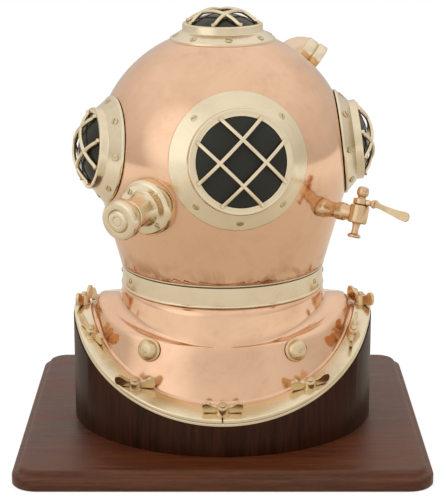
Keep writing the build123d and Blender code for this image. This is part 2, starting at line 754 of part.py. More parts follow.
# Safety catch at the back of the neck: a bracket, its pin, the catch and the keeper on the bonnet
pin_gap_radius = (catch_pin_radius + bore_fit) / math.cos(math.pi / nut_hub_sides)
catch_back = catch_plane + catch_thickness
bracket_bottom = catch_pivot_height - bracket_height / 2
with BuildPart() as catch_bracket:
    with BuildSketch(Plane.XY.offset(bracket_bottom)):
        with Locations((0, (neck_radius + catch_plane - running_gap) / 2)):
            Rectangle(bracket_width, catch_plane - running_gap - neck_radius)
    extrude(amount=bracket_height)
    back_face = Plane(origin=(0, catch_plane - running_gap, catch_pivot_height), x_dir=(1, 0, 0),
                      z_dir=(0, 1, 0))
    add(faceted(back_face, [(0, catch_thickness + 2 * running_gap, catch_pin_radius, catch_pin_radius),
                            (catch_thickness + 2 * running_gap, 2 * catch_thickness,
                             catch_width / 2, catch_width / 2)], nut_hub_sides))
catch_bracket.part.label = "catch_bracket"
export_step(catch_bracket.part, "parts/catch_bracket.step")

catch_face = Plane(origin=(0, catch_plane, catch_pivot_height), x_dir=(1, 0, 0), z_dir=(0, 1, 0))
with BuildPart() as safety_catch:
    with BuildSketch(catch_face):
        with Locations((0, catch_reach / 2)):
            SlotOverall(catch_reach + catch_width, catch_width, rotation=90)
    extrude(amount=catch_thickness)
    add(faceted(catch_face, [(0, catch_thickness, pin_gap_radius, pin_gap_radius)], nut_hub_sides),
        mode=Mode.SUBTRACT)
safety_catch.part.label = "safety_catch"
export_step(safety_catch.part, "parts/safety_catch.step")

with BuildPart() as catch_keeper:
    with BuildSketch(Plane.XY.offset(keeper_bottom)):
        with Locations((catch_width / 2 + keeper_gap + keeper_width / 2, catch_back - keeper_depth / 2)):
            Rectangle(keeper_width, keeper_depth)
    extrude(amount=keeper_height)
    add(bonnet_form, mode=Mode.SUBTRACT)
catch_keeper.part.label = "catch_keeper"
export_step(catch_keeper.part, "parts/catch_keeper.step")
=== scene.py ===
import logging
import math
from dataclasses import dataclass, field, replace
from enum import Enum
from functools import cache
from itertools import product
from typing import Callable, Iterable, Sequence

import bmesh
import bpy
from mathutils import Euler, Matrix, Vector


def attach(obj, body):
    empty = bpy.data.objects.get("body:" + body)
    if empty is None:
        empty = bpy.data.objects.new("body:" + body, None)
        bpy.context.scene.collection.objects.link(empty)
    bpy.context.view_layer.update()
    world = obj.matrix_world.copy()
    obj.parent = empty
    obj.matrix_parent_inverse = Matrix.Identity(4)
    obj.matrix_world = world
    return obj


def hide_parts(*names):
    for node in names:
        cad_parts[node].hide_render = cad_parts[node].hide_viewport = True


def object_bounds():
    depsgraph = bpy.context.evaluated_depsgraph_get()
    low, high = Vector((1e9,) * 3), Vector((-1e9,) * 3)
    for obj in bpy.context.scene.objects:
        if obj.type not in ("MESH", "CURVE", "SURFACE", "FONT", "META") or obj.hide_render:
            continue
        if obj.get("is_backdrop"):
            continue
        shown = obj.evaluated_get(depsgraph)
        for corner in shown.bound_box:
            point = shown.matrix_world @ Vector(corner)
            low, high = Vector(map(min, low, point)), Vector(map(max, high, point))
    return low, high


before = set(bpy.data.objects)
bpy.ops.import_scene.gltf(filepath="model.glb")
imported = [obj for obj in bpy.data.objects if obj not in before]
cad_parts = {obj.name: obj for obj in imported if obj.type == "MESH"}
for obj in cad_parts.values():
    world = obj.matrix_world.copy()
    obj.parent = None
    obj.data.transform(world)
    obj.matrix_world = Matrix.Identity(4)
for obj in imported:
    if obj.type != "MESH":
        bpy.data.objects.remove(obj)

# The diving helmet's looks: smooth forms over the CAD nodes, finishes, light and camera.
# Lengths in the classes are millimetres in the CAD frame, and become metres in Form.finish.

log = logging.getLogger("helmet_looks")
MILLIMETRE = 0.001
FULL_TURN = 2 * math.pi
# The corselet's neck, and the softened edge of the small screws.
NECK_RADIUS = 111.6
NECK_BOTTOM = 170.3
SCREW_EDGE = 0.12

Colour = tuple[float, float, float, float]
Pair = tuple[float, float]
Pairs = Sequence[Pair]
Profile = tuple[Pair, ...]


class Body(str, Enum):
    """The CAD bodies that pieces ride on."""

    STAND = "stand"
    CORSELET = "corselet"
    BONNET = "bonnet"
    SPINDLE = "exhaust_spindle"
    WHEEL = "exhaust_wheel"
    HANDLE = "spitcock_handle"
    CATCH = "safety_catch"


class Slot(str, Enum):
    """The material slots."""

    COPPER = "copper"
    BRASS = "brass"
    GLASS = "glass"
    LEATHER = "leather"
    DARK_WOOD = "dark_wood"
    PLINTH_WOOD = "plinth_wood"


# Shader arithmetic


class Wire:
    """An output socket that takes arithmetic, each operation adding a node to its tree."""

    def __init__(self, tree: "Tree", socket: bpy.types.NodeSocket | None) -> None:
        """Keeps a socket, or None for a node without outputs, with its tree."""
        self.tree = tree
        self.socket = socket

    def _math(self, operation: str, *values: "Wire | float") -> "Wire":
        """A Math node on the values."""
        return self.tree.add("ShaderNodeMath", {"operation": operation}, dict(enumerate(values)))

    def __add__(self, other: "Wire | float") -> "Wire":
        """The sum."""
        return self._math("ADD", self, other)

    def __radd__(self, other: float) -> "Wire":
        """The sum with a number first."""
        return self._math("ADD", other, self)

    def __sub__(self, other: "Wire | float") -> "Wire":
        """The difference."""
        return self._math("SUBTRACT", self, other)

    def __rsub__(self, other: float) -> "Wire":
        """The difference from a number."""
        return self._math("SUBTRACT", other, self)

    def __mul__(self, other: "Wire | float") -> "Wire":
        """The product."""
        return self._math("MULTIPLY", self, other)

    def __rmul__(self, other: float) -> "Wire":
        """The product with a number first."""
        return self._math("MULTIPLY", other, self)

    def span(self, low: float, high: float, start: float = 0.0, end: float = 1.0) -> "Wire":
        """The value spread from low..high to start..end, and held at both ends."""
        return self.tree.add("ShaderNodeMapRange", {"clamp": True},
                             {"Value": self, "From Min": low, "From Max": high,
                              "To Min": start, "To Max": end})


class Tree:
    """A node tree under construction."""

    def __init__(self, tree: bpy.types.NodeTree) -> None:
        """Takes a node tree and empties it."""
        self.tree = tree
        tree.nodes.clear()

    def add(self, kind: str, settings: dict[str, object] | None = None,
            inputs: dict[str | int, object] | None = None, output: str | int = 0) -> Wire:
        """Adds a node, sets its settings, then its sockets' values or links.

        Args:
            kind: the node's type name.
            settings: properties of the node.
            inputs: values or wires by socket name or number.
            output: the socket to return.

        Returns:
            The chosen output as a wire.
        """
        node = self.tree.nodes.new(kind)
        for name, value in (settings or {}).items():
            setattr(node, name, value)
        for name, value in (inputs or {}).items():
            if isinstance(value, Wire):
                self.tree.links.new(value.socket, node.inputs[name])
            else:
                node.inputs[name].default_value = value
        return Wire(self, node.outputs[output] if len(node.outputs) else None)

    def place(self, scale: Sequence[float] = (1.0, 1.0, 1.0)) -> Wire:
        """The point on the object, scaled for a texture."""
        spot = self.add("ShaderNodeTexCoord", output="Object")
        return self.add("ShaderNodeMapping", None, {"Vector": spot, "Scale": scale})

    def noise(self, scale: float, detail: float, roughness: float, distortion: float = 0.0,
              place: Wire | None = None) -> Wire:
        """Noise between 0 and 1 on the object's own coordinates."""
        return self.add("ShaderNodeTexNoise", {"noise_dimensions": "3D"},
                        {"Vector": place or self.place(), "Scale": scale, "Detail": detail,
                         "Roughness": roughness, "Distortion": distortion}, "Fac")

    def colours(self, factor: Wire | float, low: object, high: object) -> Wire:
        """One colour or wire laid over another by a factor."""
        return self.add("ShaderNodeMix", {"data_type": "RGBA"}, {0: factor, 6: low, 7: high}, 2)

    def bump(self, height: Wire, distance: float, strength: float = 1.0,
             normal: Wire | None = None) -> Wire:
        """A bumped normal.

        Args:
            height: what stands up from the surface.
            distance: height of a full step in metres.
            strength: share of the effect.
            normal: a normal that the bump is laid over.

        Returns:
            The new normal.
        """
        inputs = {"Strength": strength, "Distance": distance, "Height": height}
        if normal is not None:
            inputs["Normal"] = normal
        return self.add("ShaderNodeBump", None, inputs)

    def corner_occlusion(self, radius: float) -> Wire:
        """Ambient occlusion, which falls where the surface is cut in or bent sharply; it paints
        shade into corners.
        """
        return self.add("ShaderNodeAmbientOcclusion", {"samples": 6}, {"Distance": radius}, "AO")

    def ray(self, kind: str) -> Wire:
        """One for rays of a kind, such as Camera or Glossy."""
        return self.add("ShaderNodeLightPath", None, None, f"Is {kind} Ray")

    def glow(self, colour: Colour) -> Wire:
        """A shader that gives off a colour."""
        return self.add("ShaderNodeEmission", None, {"Color": colour, "Strength": 1.0})

    def shaders(self, factor: Wire, low: Wire, high: Wire) -> Wire:
        """One shader laid over another by a factor."""
        return self.add("ShaderNodeMixShader", None, {0: factor, 1: low, 2: high})


def shade(red: float, green: float, blue: float) -> Colour:
    """A colour with its alpha."""
    return (red, green, blue, 1.0)


# Painted reflection: the dark brown of the shaded corselet, laid on the bonnet's foot as if
# mirrored there.
REFLECTED_BROWN = shade(0.36, 0.125, 0.038)


@dataclass(frozen=True)
class Finish:
    """A finish that turns into one material.

    Args:
        name: the material's name.
        slot: the material slot it stands for; not used.
    """

    name: str
    slot: Slot

    def fill(self, tree: Tree) -> dict[str, object]:
        """Adds the finish's nodes to a tree and returns the Principled shader's inputs."""
        raise NotImplementedError


@dataclass(frozen=True)
class Metal(Finish):
    """Polished metal with hand-beaten waves, hairlines, cloudy dulling and painted shade in its
    corners.

    Args:
        colour: the clean metal.
        tarnish_and_shade: the metal where it has dulled, also used for the painted shade in
            corners.
        roughness: lowest roughness.
        spread: how much rougher the cloudy places are.
        waves: depth of the slow waves in metres.
        wave_scale: how many waves to a metre.
        hairline: depth of the polishing lines in metres.
        corner: reach of the painted shade into corners in metres.
        band: two levels in metres between which patches of painted brown reflection fade out
            upwards.
        cloud_scale: how many cloudy places to a metre.
        stain_scale: how many small stains to a metre.
        line_scale: how many polishing lines to a metre.
        patch_scale: how many patches of the band to a metre.
    """

    colour: Colour
    tarnish_and_shade: Colour
    roughness: float = 0.1
    spread: float = 0.08
    waves: float = 0.0004
    wave_scale: float = 9.0
    hairline: float = 0.00001
    corner: float = 0.004
    band: tuple[float, float] | None = None
    cloud_scale: float = 14.0
    stain_scale: float = 55.0
    line_scale: float = 260.0
    patch_scale: float = 26.0

    def with_painted_reflection(self, tree: Tree, colour: Wire) -> Wire:
        """The colour with patches of painted brown reflection between the two levels of the band.

        Args:
            tree: the tree to add to.
            colour: the colour without them.

        Returns:
            The colour with the painted reflection.
        """
        low, high = self.band
        level = tree.add("ShaderNodeSeparateXYZ", None, {0: tree.place()}, "Z")
        patches = tree.noise(self.patch_scale, 3.0, 0.55, 0.8).span(0.44, 0.60)
        rising = level.span(low, high, 1.0, 0.0) * level.span(low - 0.003, low - 0.002)
        # Painted reflection: brown patches between the band's levels that fade out upwards; on the
        # copper they lie on the bonnet's foot.
        return tree.colours(patches * rising * 0.8, colour, REFLECTED_BROWN)

    def fill(self, tree: Tree) -> dict[str, object]:
        """Clouds, stains, painted shade in corners, polishing lines and slow waves.

        Args:
            tree: the tree to add to.

        Returns:
            The shader's inputs.
        """
        cloud = tree.noise(self.cloud_scale, 5.0, 0.6, 0.4)
        stain = tree.noise(self.stain_scale, 4.0, 0.65)
        # Painted shade: where ambient occlusion finds corners and creases, the colour darkens
        # towards the dull metal.
        painted_corner_shade = (1.0 - tree.corner_occlusion(self.corner)).span(0.15, 0.85, 0.0, 0.75)
        dull_and_shade = cloud.span(0.45, 0.8, 0.0, 0.30) + stain.span(0.55, 0.8, 0.0, 0.16) + painted_corner_shade
        lines = tree.noise(self.line_scale, 2.0, 0.7, 0.0, tree.place((0.25, 0.25, 6.0)))
        slow = tree.bump(tree.noise(self.wave_scale, 1.0, 0.4), self.waves)
        normal = tree.bump(lines, self.hairline, 1.0, slow)
        rough = (self.roughness + cloud.span(0.35, 0.75, 0.0, self.spread) + painted_corner_shade * 0.25
                 + lines * 0.03)
        colour = tree.colours(dull_and_shade.span(0.0, 1.0), self.colour, self.tarnish_and_shade)
        return {"Base Color": self.with_painted_reflection(tree, colour) if self.band else colour, "Metallic": 1.0,
                "Roughness": rough, "Normal": normal}


@dataclass(frozen=True)
class Wood(Finish):
    """Lacquered wood with grain along X, or along Z when upright.

    Args:
        dark: the grain's dark lines.
        mid: the wood between.
        light: the palest bands.
        upright: whether the grain runs along Z.
        gloss: roughness of the lacquer.
        sheen: strength of its reflection.
    """

    dark: Colour
    mid: Colour
    light: Colour
    upright: bool = False
    gloss: float = 0.25
    sheen: float = 0.4

    def fill(self, tree: Tree) -> dict[str, object]:
        """Bands, fibres and pores stretched along the grain.

        Args:
            tree: the tree to add to.

        Returns:
            The shader's inputs.
        """
        place = tree.place((9.0, 9.0, 0.7) if self.upright else (0.7, 9.0, 9.0))
        bands = tree.noise(2.6, 4.0, 0.6, 0.9, place)
        fibres = tree.noise(22.0, 6.0, 0.75, 0.2, place)
        pores = tree.noise(70.0, 3.0, 0.8, 0.0, place).span(0.58, 0.72)
        base = tree.colours(bands.span(0.32, 0.68), self.dark, self.mid)
        warm = tree.colours(fibres.span(0.4, 0.75, 0.0, 0.65), base, self.light)
        colour = tree.colours(pores * 0.55, warm, self.dark)
        rough = self.gloss + bands.span(0.3, 0.7, 0.0, 0.12) + pores * 0.15
        return {"Base Color": colour, "Roughness": rough, "Specular IOR Level": self.sheen,
                "Specular Tint": shade(1.0, 0.84, 0.68),
                "Normal": tree.bump(fibres - pores * 0.6, 0.00025, 0.6)}


@dataclass(frozen=True)
class DarkGlass(Finish):
    """Thick smoked glass, with a little dust on it."""

    colour: Colour = shade(0.018, 0.018, 0.014)
    dusty: Colour = shade(0.03, 0.028, 0.026)

    def fill(self, tree: Tree) -> dict[str, object]:
        """A dark body with a little dust."""
        dust = tree.noise(120.0, 5.0, 0.7).span(0.5, 0.85, 0.0, 0.10)
        return {"Base Color": tree.colours(dust, self.colour, self.dusty),
                "Roughness": 0.10 + dust * 0.8, "IOR": 1.45, "Specular IOR Level": 0.22}


@dataclass(frozen=True)
class Leather(Finish):
    """Oiled leather with a fine grain."""

    colour: Colour = shade(0.05, 0.025, 0.012)
    pale: Colour = shade(0.11, 0.06, 0.03)

    def fill(self, tree: Tree) -> dict[str, object]:
        """A fine grain between two browns."""
        grain = tree.noise(900.0, 3.0, 0.6)
        return {"Base Color": tree.colours(grain.span(0.3, 0.7), self.colour, self.pale),
                "Roughness": 0.6 + grain * 0.2, "Normal": tree.bump(grain, 0.0002)}


def blank_material(name: str) -> tuple[bpy.types.Material, Tree]:
    """A new material with its empty tree.

    Args:
        name: the material's name.

    Returns:
        The material and its tree.
    """
    made = bpy.data.materials.new(name)
    made.use_nodes = True
    return made, Tree(made.node_tree)


def placed(name: str, data: bpy.types.ID) -> bpy.types.Object:
    """A new object in the scene.

    Args:
        name: the object's name.
        data: its mesh, lamp or camera.

    Returns:
        The object.
    """
    made = bpy.data.objects.new(name, data)
    bpy.context.scene.collection.objects.link(made)
    return made


@cache
def material(finish: Finish) -> bpy.types.Material:
    """The finish as a material, made once.

    Args:
        finish: the finish.

    Returns:
        The material.
    """
    made, tree = blank_material(finish.name)
    surface = tree.add("ShaderNodeBsdfPrincipled", None, finish.fill(tree))
    tree.add("ShaderNodeOutputMaterial", None, {"Surface": surface})
    return made


# The copper's band, 0.197 to 0.218 m, paints brown reflection on the bonnet's foot.
COPPER = Metal("polished_copper", Slot.COPPER, shade(0.905, 0.59, 0.395), shade(0.42, 0.18, 0.08),
               0.10, 0.06, 0.0011, 7.0, 0.000006, 0.012, (0.197, 0.218))
TUBE_COPPER = Metal("drawn_copper", Slot.COPPER, shade(0.88, 0.66, 0.48), shade(0.52, 0.26, 0.14),
                    0.16, 0.08, 0.0002, 30.0, 0.000008, 0.004)
BRASS = Metal("polished_brass", Slot.BRASS, shade(0.90, 0.77, 0.555), shade(0.42, 0.30, 0.15),
              0.15, 0.08, 0.00012, 40.0, 0.000010, 0.0035)
CAST_BRASS = Metal("cast_brass", Slot.BRASS, shade(0.82, 0.64, 0.40), shade(0.30, 0.17, 0.075),
                   0.22, 0.12, 0.0003, 90.0, 0.000014, 0.004)
RED_BRASS = Metal("red_brass", Slot.BRASS, shade(0.76, 0.53, 0.32), shade(0.26, 0.11, 0.045),
                  0.17, 0.12, 0.0003, 80.0, 0.000012, 0.005)
SCREW_BRASS = Metal("screw_brass", Slot.BRASS, shade(0.74, 0.62, 0.39), shade(0.14, 0.09, 0.04),
                    0.26, 0.10, 0.0001, 90.0, 0.000010, 0.0018)
GLASS = DarkGlass("smoked_glass", Slot.GLASS)
LEATHER = Leather("oiled_leather", Slot.LEATHER)
PLINTH_WOOD = Wood("plinth_wood", Slot.PLINTH_WOOD, shade(0.022, 0.004, 0.0015),
                   shade(0.066, 0.014, 0.003), shade(0.125, 0.034, 0.010), False, 0.34, 0.5)
DRUM_WOOD = Wood("drum_wood", Slot.DARK_WOOD, shade(0.006, 0.0015, 0.0007),
                 shade(0.022, 0.005, 0.0018), shade(0.050, 0.014, 0.005), True, 0.30, 0.14)


# Places and forms


@dataclass(frozen=True)
class Seat:
    """A place to build at.

    Args:
        origin: its middle.
        across: the first direction.
        up: the second direction.
        out: the outward direction.
    """

    origin: Vector
    across: Vector
    up: Vector
    out: Vector

    @classmethod
    def facing(cls, origin: Vector, out: Vector, across: Vector) -> "Seat":
        """A seat from an outward direction and a rough one across it.

        Args:
            origin: its middle.
            out: the outward direction.
            across: any direction near the first one.

        Returns:
            The seat with its directions square to each other.
        """
        out = out.normalized()
        across = (across - out * across.dot(out)).normalized()
        return cls(origin, across, out.cross(across), out)

    @classmethod
    def looking(cls, origin: Vector, turn: float, elevation: float) -> "Seat":
        """A seat that looks out along a turn and an elevation.

        Args:
            origin: its middle.
            turn: degrees from the front.
            elevation: degrees above the level.

        Returns:
            The seat.
        """
        turn, rise = math.radians(turn), math.radians(elevation)
        flat = math.cos(rise)
        out = Vector((math.sin(turn) * flat, -math.cos(turn) * flat, math.sin(rise)))
        return cls.facing(origin, out, Vector((math.cos(turn), math.sin(turn), 0)))

    @classmethod
    def level(cls) -> "Seat":
        """A seat at the frame's origin that looks up."""
        return cls(Vector(), Vector((1, 0, 0)), Vector((0, 1, 0)), Vector((0, 0, 1)))

    def at(self, across: float, up: float, out: float = 0.0) -> Vector:
        """A point given along the three directions."""
        return self.origin + self.across * across + self.up * up + self.out * out

    def round(self, radius: float, angle: float, out: float = 0.0) -> Vector:
        """A point given by radius and angle about the outward direction."""
        return self.at(radius * math.cos(angle), radius * math.sin(angle), out)

    def way(self, bearing: float) -> Vector:
        """A direction by its bearing about the outward one, in degrees."""
        angle = math.radians(bearing)
        return self.across * math.cos(angle) + self.up * math.sin(angle)


def shift(pairs: Pairs, radius: float, out: float) -> list[Pair]:
    """The pairs moved by a radius and a height."""
    return [(x + radius, y + out) for x, y in pairs]


def circle(radius: float, count: int, start: float = 0.0) -> list[Pair]:
    """Even points on a circle, from an angle on."""
    angles = [start + FULL_TURN * k / count for k in range(count)]
    return [(radius * math.cos(angle), radius * math.sin(angle)) for angle in angles]


def smooth_loop(points: Pairs, steps: int) -> list[Pair]:
    """A closed outline rounded through its points.

    Args:
        points: its corners in order.
        steps: how many points each side becomes.

    Returns:
        The new points.
    """
    made = []
    count = len(points)
    for i in range(count):
        a, b, c, d = (Vector(points[(i + k - 1) % count]) for k in range(4))
        for step in range(steps):
            t = step / steps
            made.append(tuple(0.5 * ((2 * b) + (c - a) * t + (2 * a - 5 * b + 4 * c - d) * t * t
                                     + (3 * b - a - 3 * c + d) * t ** 3)))
    return made


class Form:
    """A mesh in the making, in millimetres in the CAD frame."""

    def __init__(self) -> None:
        """Starts an empty mesh."""
        self.mesh = bmesh.new()

    def rows(self, rows: Iterable[Sequence[Vector]], closed: bool = False,
             capped: bool = False) -> "Form":
        """Joins closed rows of points by quads.

        Args:
            rows: rows of one length.
            closed: whether the last row joins the first.
            capped: whether the first and last row are filled.

        Returns:
            The form, as every method here but finish.
        """
        made = [[self.mesh.verts.new(point) for point in row] for row in rows]
        pairs = list(zip(made, made[1:])) + ([(made[-1], made[0])] if closed else [])
        for low, high in pairs:
            for i in range(len(low)):
                j = (i + 1) % len(low)
                self.mesh.faces.new((low[i], low[j], high[j], high[i]))
        if capped:
            self.mesh.faces.new(list(reversed(made[0])))
            self.mesh.faces.new(made[-1])
        return self

    def lathe(self, seat: Seat, profile: Sequence[tuple[float, float | None]], sides: int,
              closed: bool = False, ground: "Shell | None" = None) -> "Form":
        """A turned form.

        Args:
            seat: its axis and foot.
            profile: radius and height pairs; a height of None lies on the ground.
            sides: how many sides it has.
            closed: whether the last pair joins the first.
            ground: the shell that a height of None lies on.

        Returns:
            The form.
        """
        angles = [FULL_TURN * step / sides for step in range(sides)]
        rows = [[seat.round(radius, angle,
                            ground.reach(seat, radius, angle) if out is None else out)
                 for angle in angles] for radius, out in profile]
        return self.rows(rows, closed)

    def slab(self, seat: Seat, outline: Pairs, start: float, end: float) -> "Form":
        """A flat piece from an outline, from one height over its seat to another."""
        rows = [[seat.at(x, y, out) for x, y in outline] for out in (start, end)]
        return self.rows(rows, capped=True)

    def tube(self, path: Sequence[Vector], side: Vector, section: Pairs,
             capped: bool = True) -> "Form":
        """A section carried along a flat path.

        Args:
            path: points in one plane.
            side: the direction square to that plane.
            section: pairs along the side and square to both.
            capped: whether the ends are closed.

        Returns:
            The form.
        """
        rows = []
        for i, point in enumerate(path):
            ahead = (path[min(i + 1, len(path) - 1)] - path[max(i - 1, 0)]).normalized()
            normal = side.cross(ahead).normalized()
            rows.append([point + side * u + normal * v for u, v in section])
        return self.rows(rows, capped=capped)

    def ball(self, shell: "Shell", cells: int, holes: Sequence[tuple[Vector, float]]) -> "Form":
        """The bonnet's ball and tapered neck in even cells, open at round holes and at the mouth.

        Args:
            shell: the surface.
            cells: cells along each side of the six faces.
            holes: outward direction and radius of each hole.

        Returns:
            The form.
        """
        sides = [(Vector((1, 0, 0)), Vector((0, 1, 0))), (Vector((0, 1, 0)), Vector((0, 0, 1))),
                 (Vector((0, 0, 1)), Vector((1, 0, 0)))]
        steps = [math.tan(math.pi / 4 * (2 * k / cells - 1)) for k in range(cells + 1)]
        low = math.sin(shell.floor)
        spreads = [(axis, math.asin(size / shell.radius)) for axis, size in holes]
        known: dict[tuple[int, int, int], bmesh.types.BMVert] = {}

        def corner(way: Vector) -> bmesh.types.BMVert:
            """The one vertex in a direction.

            Args:
                way: the direction.

            Returns:
                The vertex, made when it is first asked for.
            """
            key = tuple(round(c * 1e5) for c in way)
            if key not in known:
                known[key] = self.mesh.verts.new(way)
            return known[key]

        for (u, v), sign, i, j in product(sides, (-1, 1), range(cells), range(cells)):
            w = u.cross(v) * sign
            ways = [(w + u * steps[a] + v * steps[b]).normalized()
                    for a, b in ((i, j), (i + 1, j), (i + 1, j + 1), (i, j + 1))]
            middle = sum(ways, Vector()).normalized()
            if middle.z >= low and all(middle.angle(axis) >= spread for axis, spread in spreads):
                self.mesh.faces.new([corner(way) for way in ways])
        for edge in [edge for edge in self.mesh.edges if edge.is_boundary]:
            for vert in edge.verts:
                way = vert.co.normalized()
                near = [(abs(way.angle(axis) - spread), axis, spread) for axis, spread in spreads]
                gap, axis, spread = min(near, key=lambda item: item[0])
                if gap < abs(way.z - low):
                    aside = (way - axis * way.dot(axis)).normalized()
                    vert.co = axis * math.cos(spread) + aside * math.sin(spread)
                else:
                    flat = Vector((way.x, way.y, 0)).normalized() * math.sqrt(1 - low * low)
                    vert.co = flat + Vector((0, 0, low))
        for vert in self.mesh.verts:
            vert.co = shell.point(vert.co)
        return self

    def screw(self, seat: Seat, radius: float, height: float, slot: float) -> "Form":
        """A slotted round head: two domed halves over a disc at the slot's floor.

        Args:
            seat: where it stands, with the slot along its first direction.
            radius: the head's radius.
            height: the head's height.
            slot: half the slot's width as a share of the radius.

        Returns:
            The form.
        """
        half, start, steps = radius * slot, math.asin(slot), 10
        arc = [start + (math.pi - 2 * start) * step / steps for step in range(steps + 1)]
        dome = ((1.0, -1.0), (1.0, 0.35), (0.86, 0.8), (0.6, 1.0))
        for sign in (1, -1):
            self.rows([[seat.at(radius * share * math.cos(angle),
                                sign * max(radius * share * math.sin(angle), half), height * rise)
                        for angle in arc] for share, rise in dome], capped=True)
        disc, low, top = radius * 0.97, -height, height * 0.1
        return self.lathe(seat, [(0.0, low), (disc, low), (disc, top), (0.0, top)], 2 * steps)

    def finish(self, name: str, body: Body, finish: Finish, replaces: Sequence[str] = (),
               bevel: float = 0.0, sharp: float = 35.0, wall: float = 0.0,
               segments: int = 2) -> bpy.types.Object:
        """Makes the object, dresses it, and fastens it to its body.

        Args:
            name: the piece's name.
            body: the CAD body it rides on.
            finish: its finish.
            replaces: CAD nodes that it stands for.
            bevel: width of its softened edges.
            sharp: angle in degrees above which an edge stays crisp.
            wall: thickness added inward of an open surface.
            segments: faces across a softened edge.

        Returns:
            The finished object.
        """
        bmesh.ops.remove_doubles(self.mesh, verts=self.mesh.verts, dist=0.001)
        flat = [face for face in self.mesh.faces if face.calc_area() < 1e-9]
        bmesh.ops.delete(self.mesh, geom=flat, context="FACES_ONLY")
        bmesh.ops.recalc_face_normals(self.mesh, faces=self.mesh.faces)
        bmesh.ops.scale(self.mesh, vec=(MILLIMETRE,) * 3, verts=self.mesh.verts)
        data = bpy.data.meshes.new(name)
        self.mesh.to_mesh(data)
        self.mesh.free()
        for polygon in data.polygons:
            polygon.use_smooth = True
        data.set_sharp_from_angle(angle=math.radians(sharp))
        data.materials.append(material(finish))
        piece = placed(name, data)
        if wall:
            solid = piece.modifiers.new("wall", "SOLIDIFY")
            solid.thickness = wall * MILLIMETRE
            solid.offset = -1.0
        if bevel:
            soft = piece.modifiers.new("edges", "BEVEL")
            soft.width = bevel * MILLIMETRE
            soft.segments = segments
            soft.limit_method = "ANGLE"
            soft.angle_limit = math.radians(sharp)
            soft.harden_normals = True
        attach(piece, body.value)
        if replaces:
            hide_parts(*replaces)
        log.info("%s rides on %s", name, body.value)
        return piece


@dataclass(frozen=True)
class Roof:
    """A ridge along X with a rounded top.

    Args:
        peak: height of the two slopes' meeting line.
        angle: slope in degrees.
        radius: radius of the rounded ridge.
    """

    peak: float
    angle: float
    radius: float

    def height(self, y: float, lift: float = 0.0) -> float:
        """Height over a point.

        Args:
            y: how far the point is from the ridge.
            lift: how far it is lifted square to the surface.

        Returns:
            The height.
        """
        lean = math.radians(self.angle)
        radius = self.radius + lift
        if abs(y) < radius * math.sin(lean):
            return self.peak - self.radius / math.cos(lean) + math.sqrt(radius ** 2 - y ** 2)
        return self.peak + lift / math.cos(lean) - abs(y) * math.tan(lean)

    def normal(self, y: float, lift: float = 0.0) -> Vector:
        """Direction square to the surface over a point.

        Args:
            y: how far the point is from the ridge.
            lift: how far it is lifted square to the surface.

        Returns:
            The direction.
        """
        lean = math.radians(self.angle)
        radius = self.radius + lift
        if abs(y) < radius * math.sin(lean):
            lean = math.asin(abs(y) / radius)
        lean = math.copysign(lean, y)
        return Vector((0, math.sin(lean), math.cos(lean)))


@dataclass(frozen=True)
class Oval:
    """An oval about the upright axis by its half width and half depth."""

    half_width: float
    half_depth: float

    def point(self, angle: float) -> Pair:
        """The point at an angle of the circle that the oval is stretched from."""
        return (self.half_width * math.cos(angle), self.half_depth * math.sin(angle))

    def reach(self, angle: float, grow: float) -> float:
        """Distance from the axis in a true direction, the oval grown by an amount."""
        return 1 / math.hypot(math.cos(angle) / (self.half_width + grow),
                              math.sin(angle) / (self.half_depth + grow))


@dataclass(frozen=True)
class Shell:
    """The bonnet's surface: a ball that runs straight down into a tapered neck.

    Args:
        height: level of the ball's middle.
        radius: the ball's radius.
        mouth: radius at the bottom.
        bottom: level of the mouth.
    """

    height: float
    radius: float
    mouth: float
    bottom: float

    @property
    def centre(self) -> Vector:
        """The ball's middle."""
        return Vector((0, 0, self.height))

    @property
    def floor(self) -> float:
        """Elevation of the mouth from the ball's middle."""
        return -math.atan2(self.height - self.bottom, self.mouth)

    @property
    def meeting(self) -> float:
        """Elevation at which the ball turns into the taper."""
        reach = math.hypot(self.mouth, self.height - self.bottom)
        return self.floor + math.acos(self.radius / reach)

    def point(self, way: Vector) -> Vector:
        """The surface point in a direction from the ball's middle.

        Args:
            way: the direction.

        Returns:
            The point.
        """
        way = way.normalized()
        under = max(self.meeting - math.asin(max(min(way.z, 1.0), -1.0)), 0.0)
        return self.centre + way * self.radius / math.cos(under)

    def reach(self, seat: Seat, radius: float, angle: float) -> float:
        """How far out from a seat the surface is.

        Args:
            seat: the place to look from.
            radius: distance from its outward line.
            angle: angle about that line.

        Returns:
            The distance along the outward direction.
        """
        low, high = 0.0, 2 * self.radius
        for _ in range(30):
            middle = (low + high) / 2
            spot = seat.round(radius, angle, middle) - self.centre
            inside = spot.length < (self.point(spot) - self.centre).length
            low, high = (middle, high) if inside else (low, middle)
        return low


# The line that the corselet's edge, its rim and the drum's top follow, and the bonnet.
SADDLE = Roof(152.7, 33.2, 80.0)
BALL = Shell(312.9, 139.8, 112.6, 195.5)


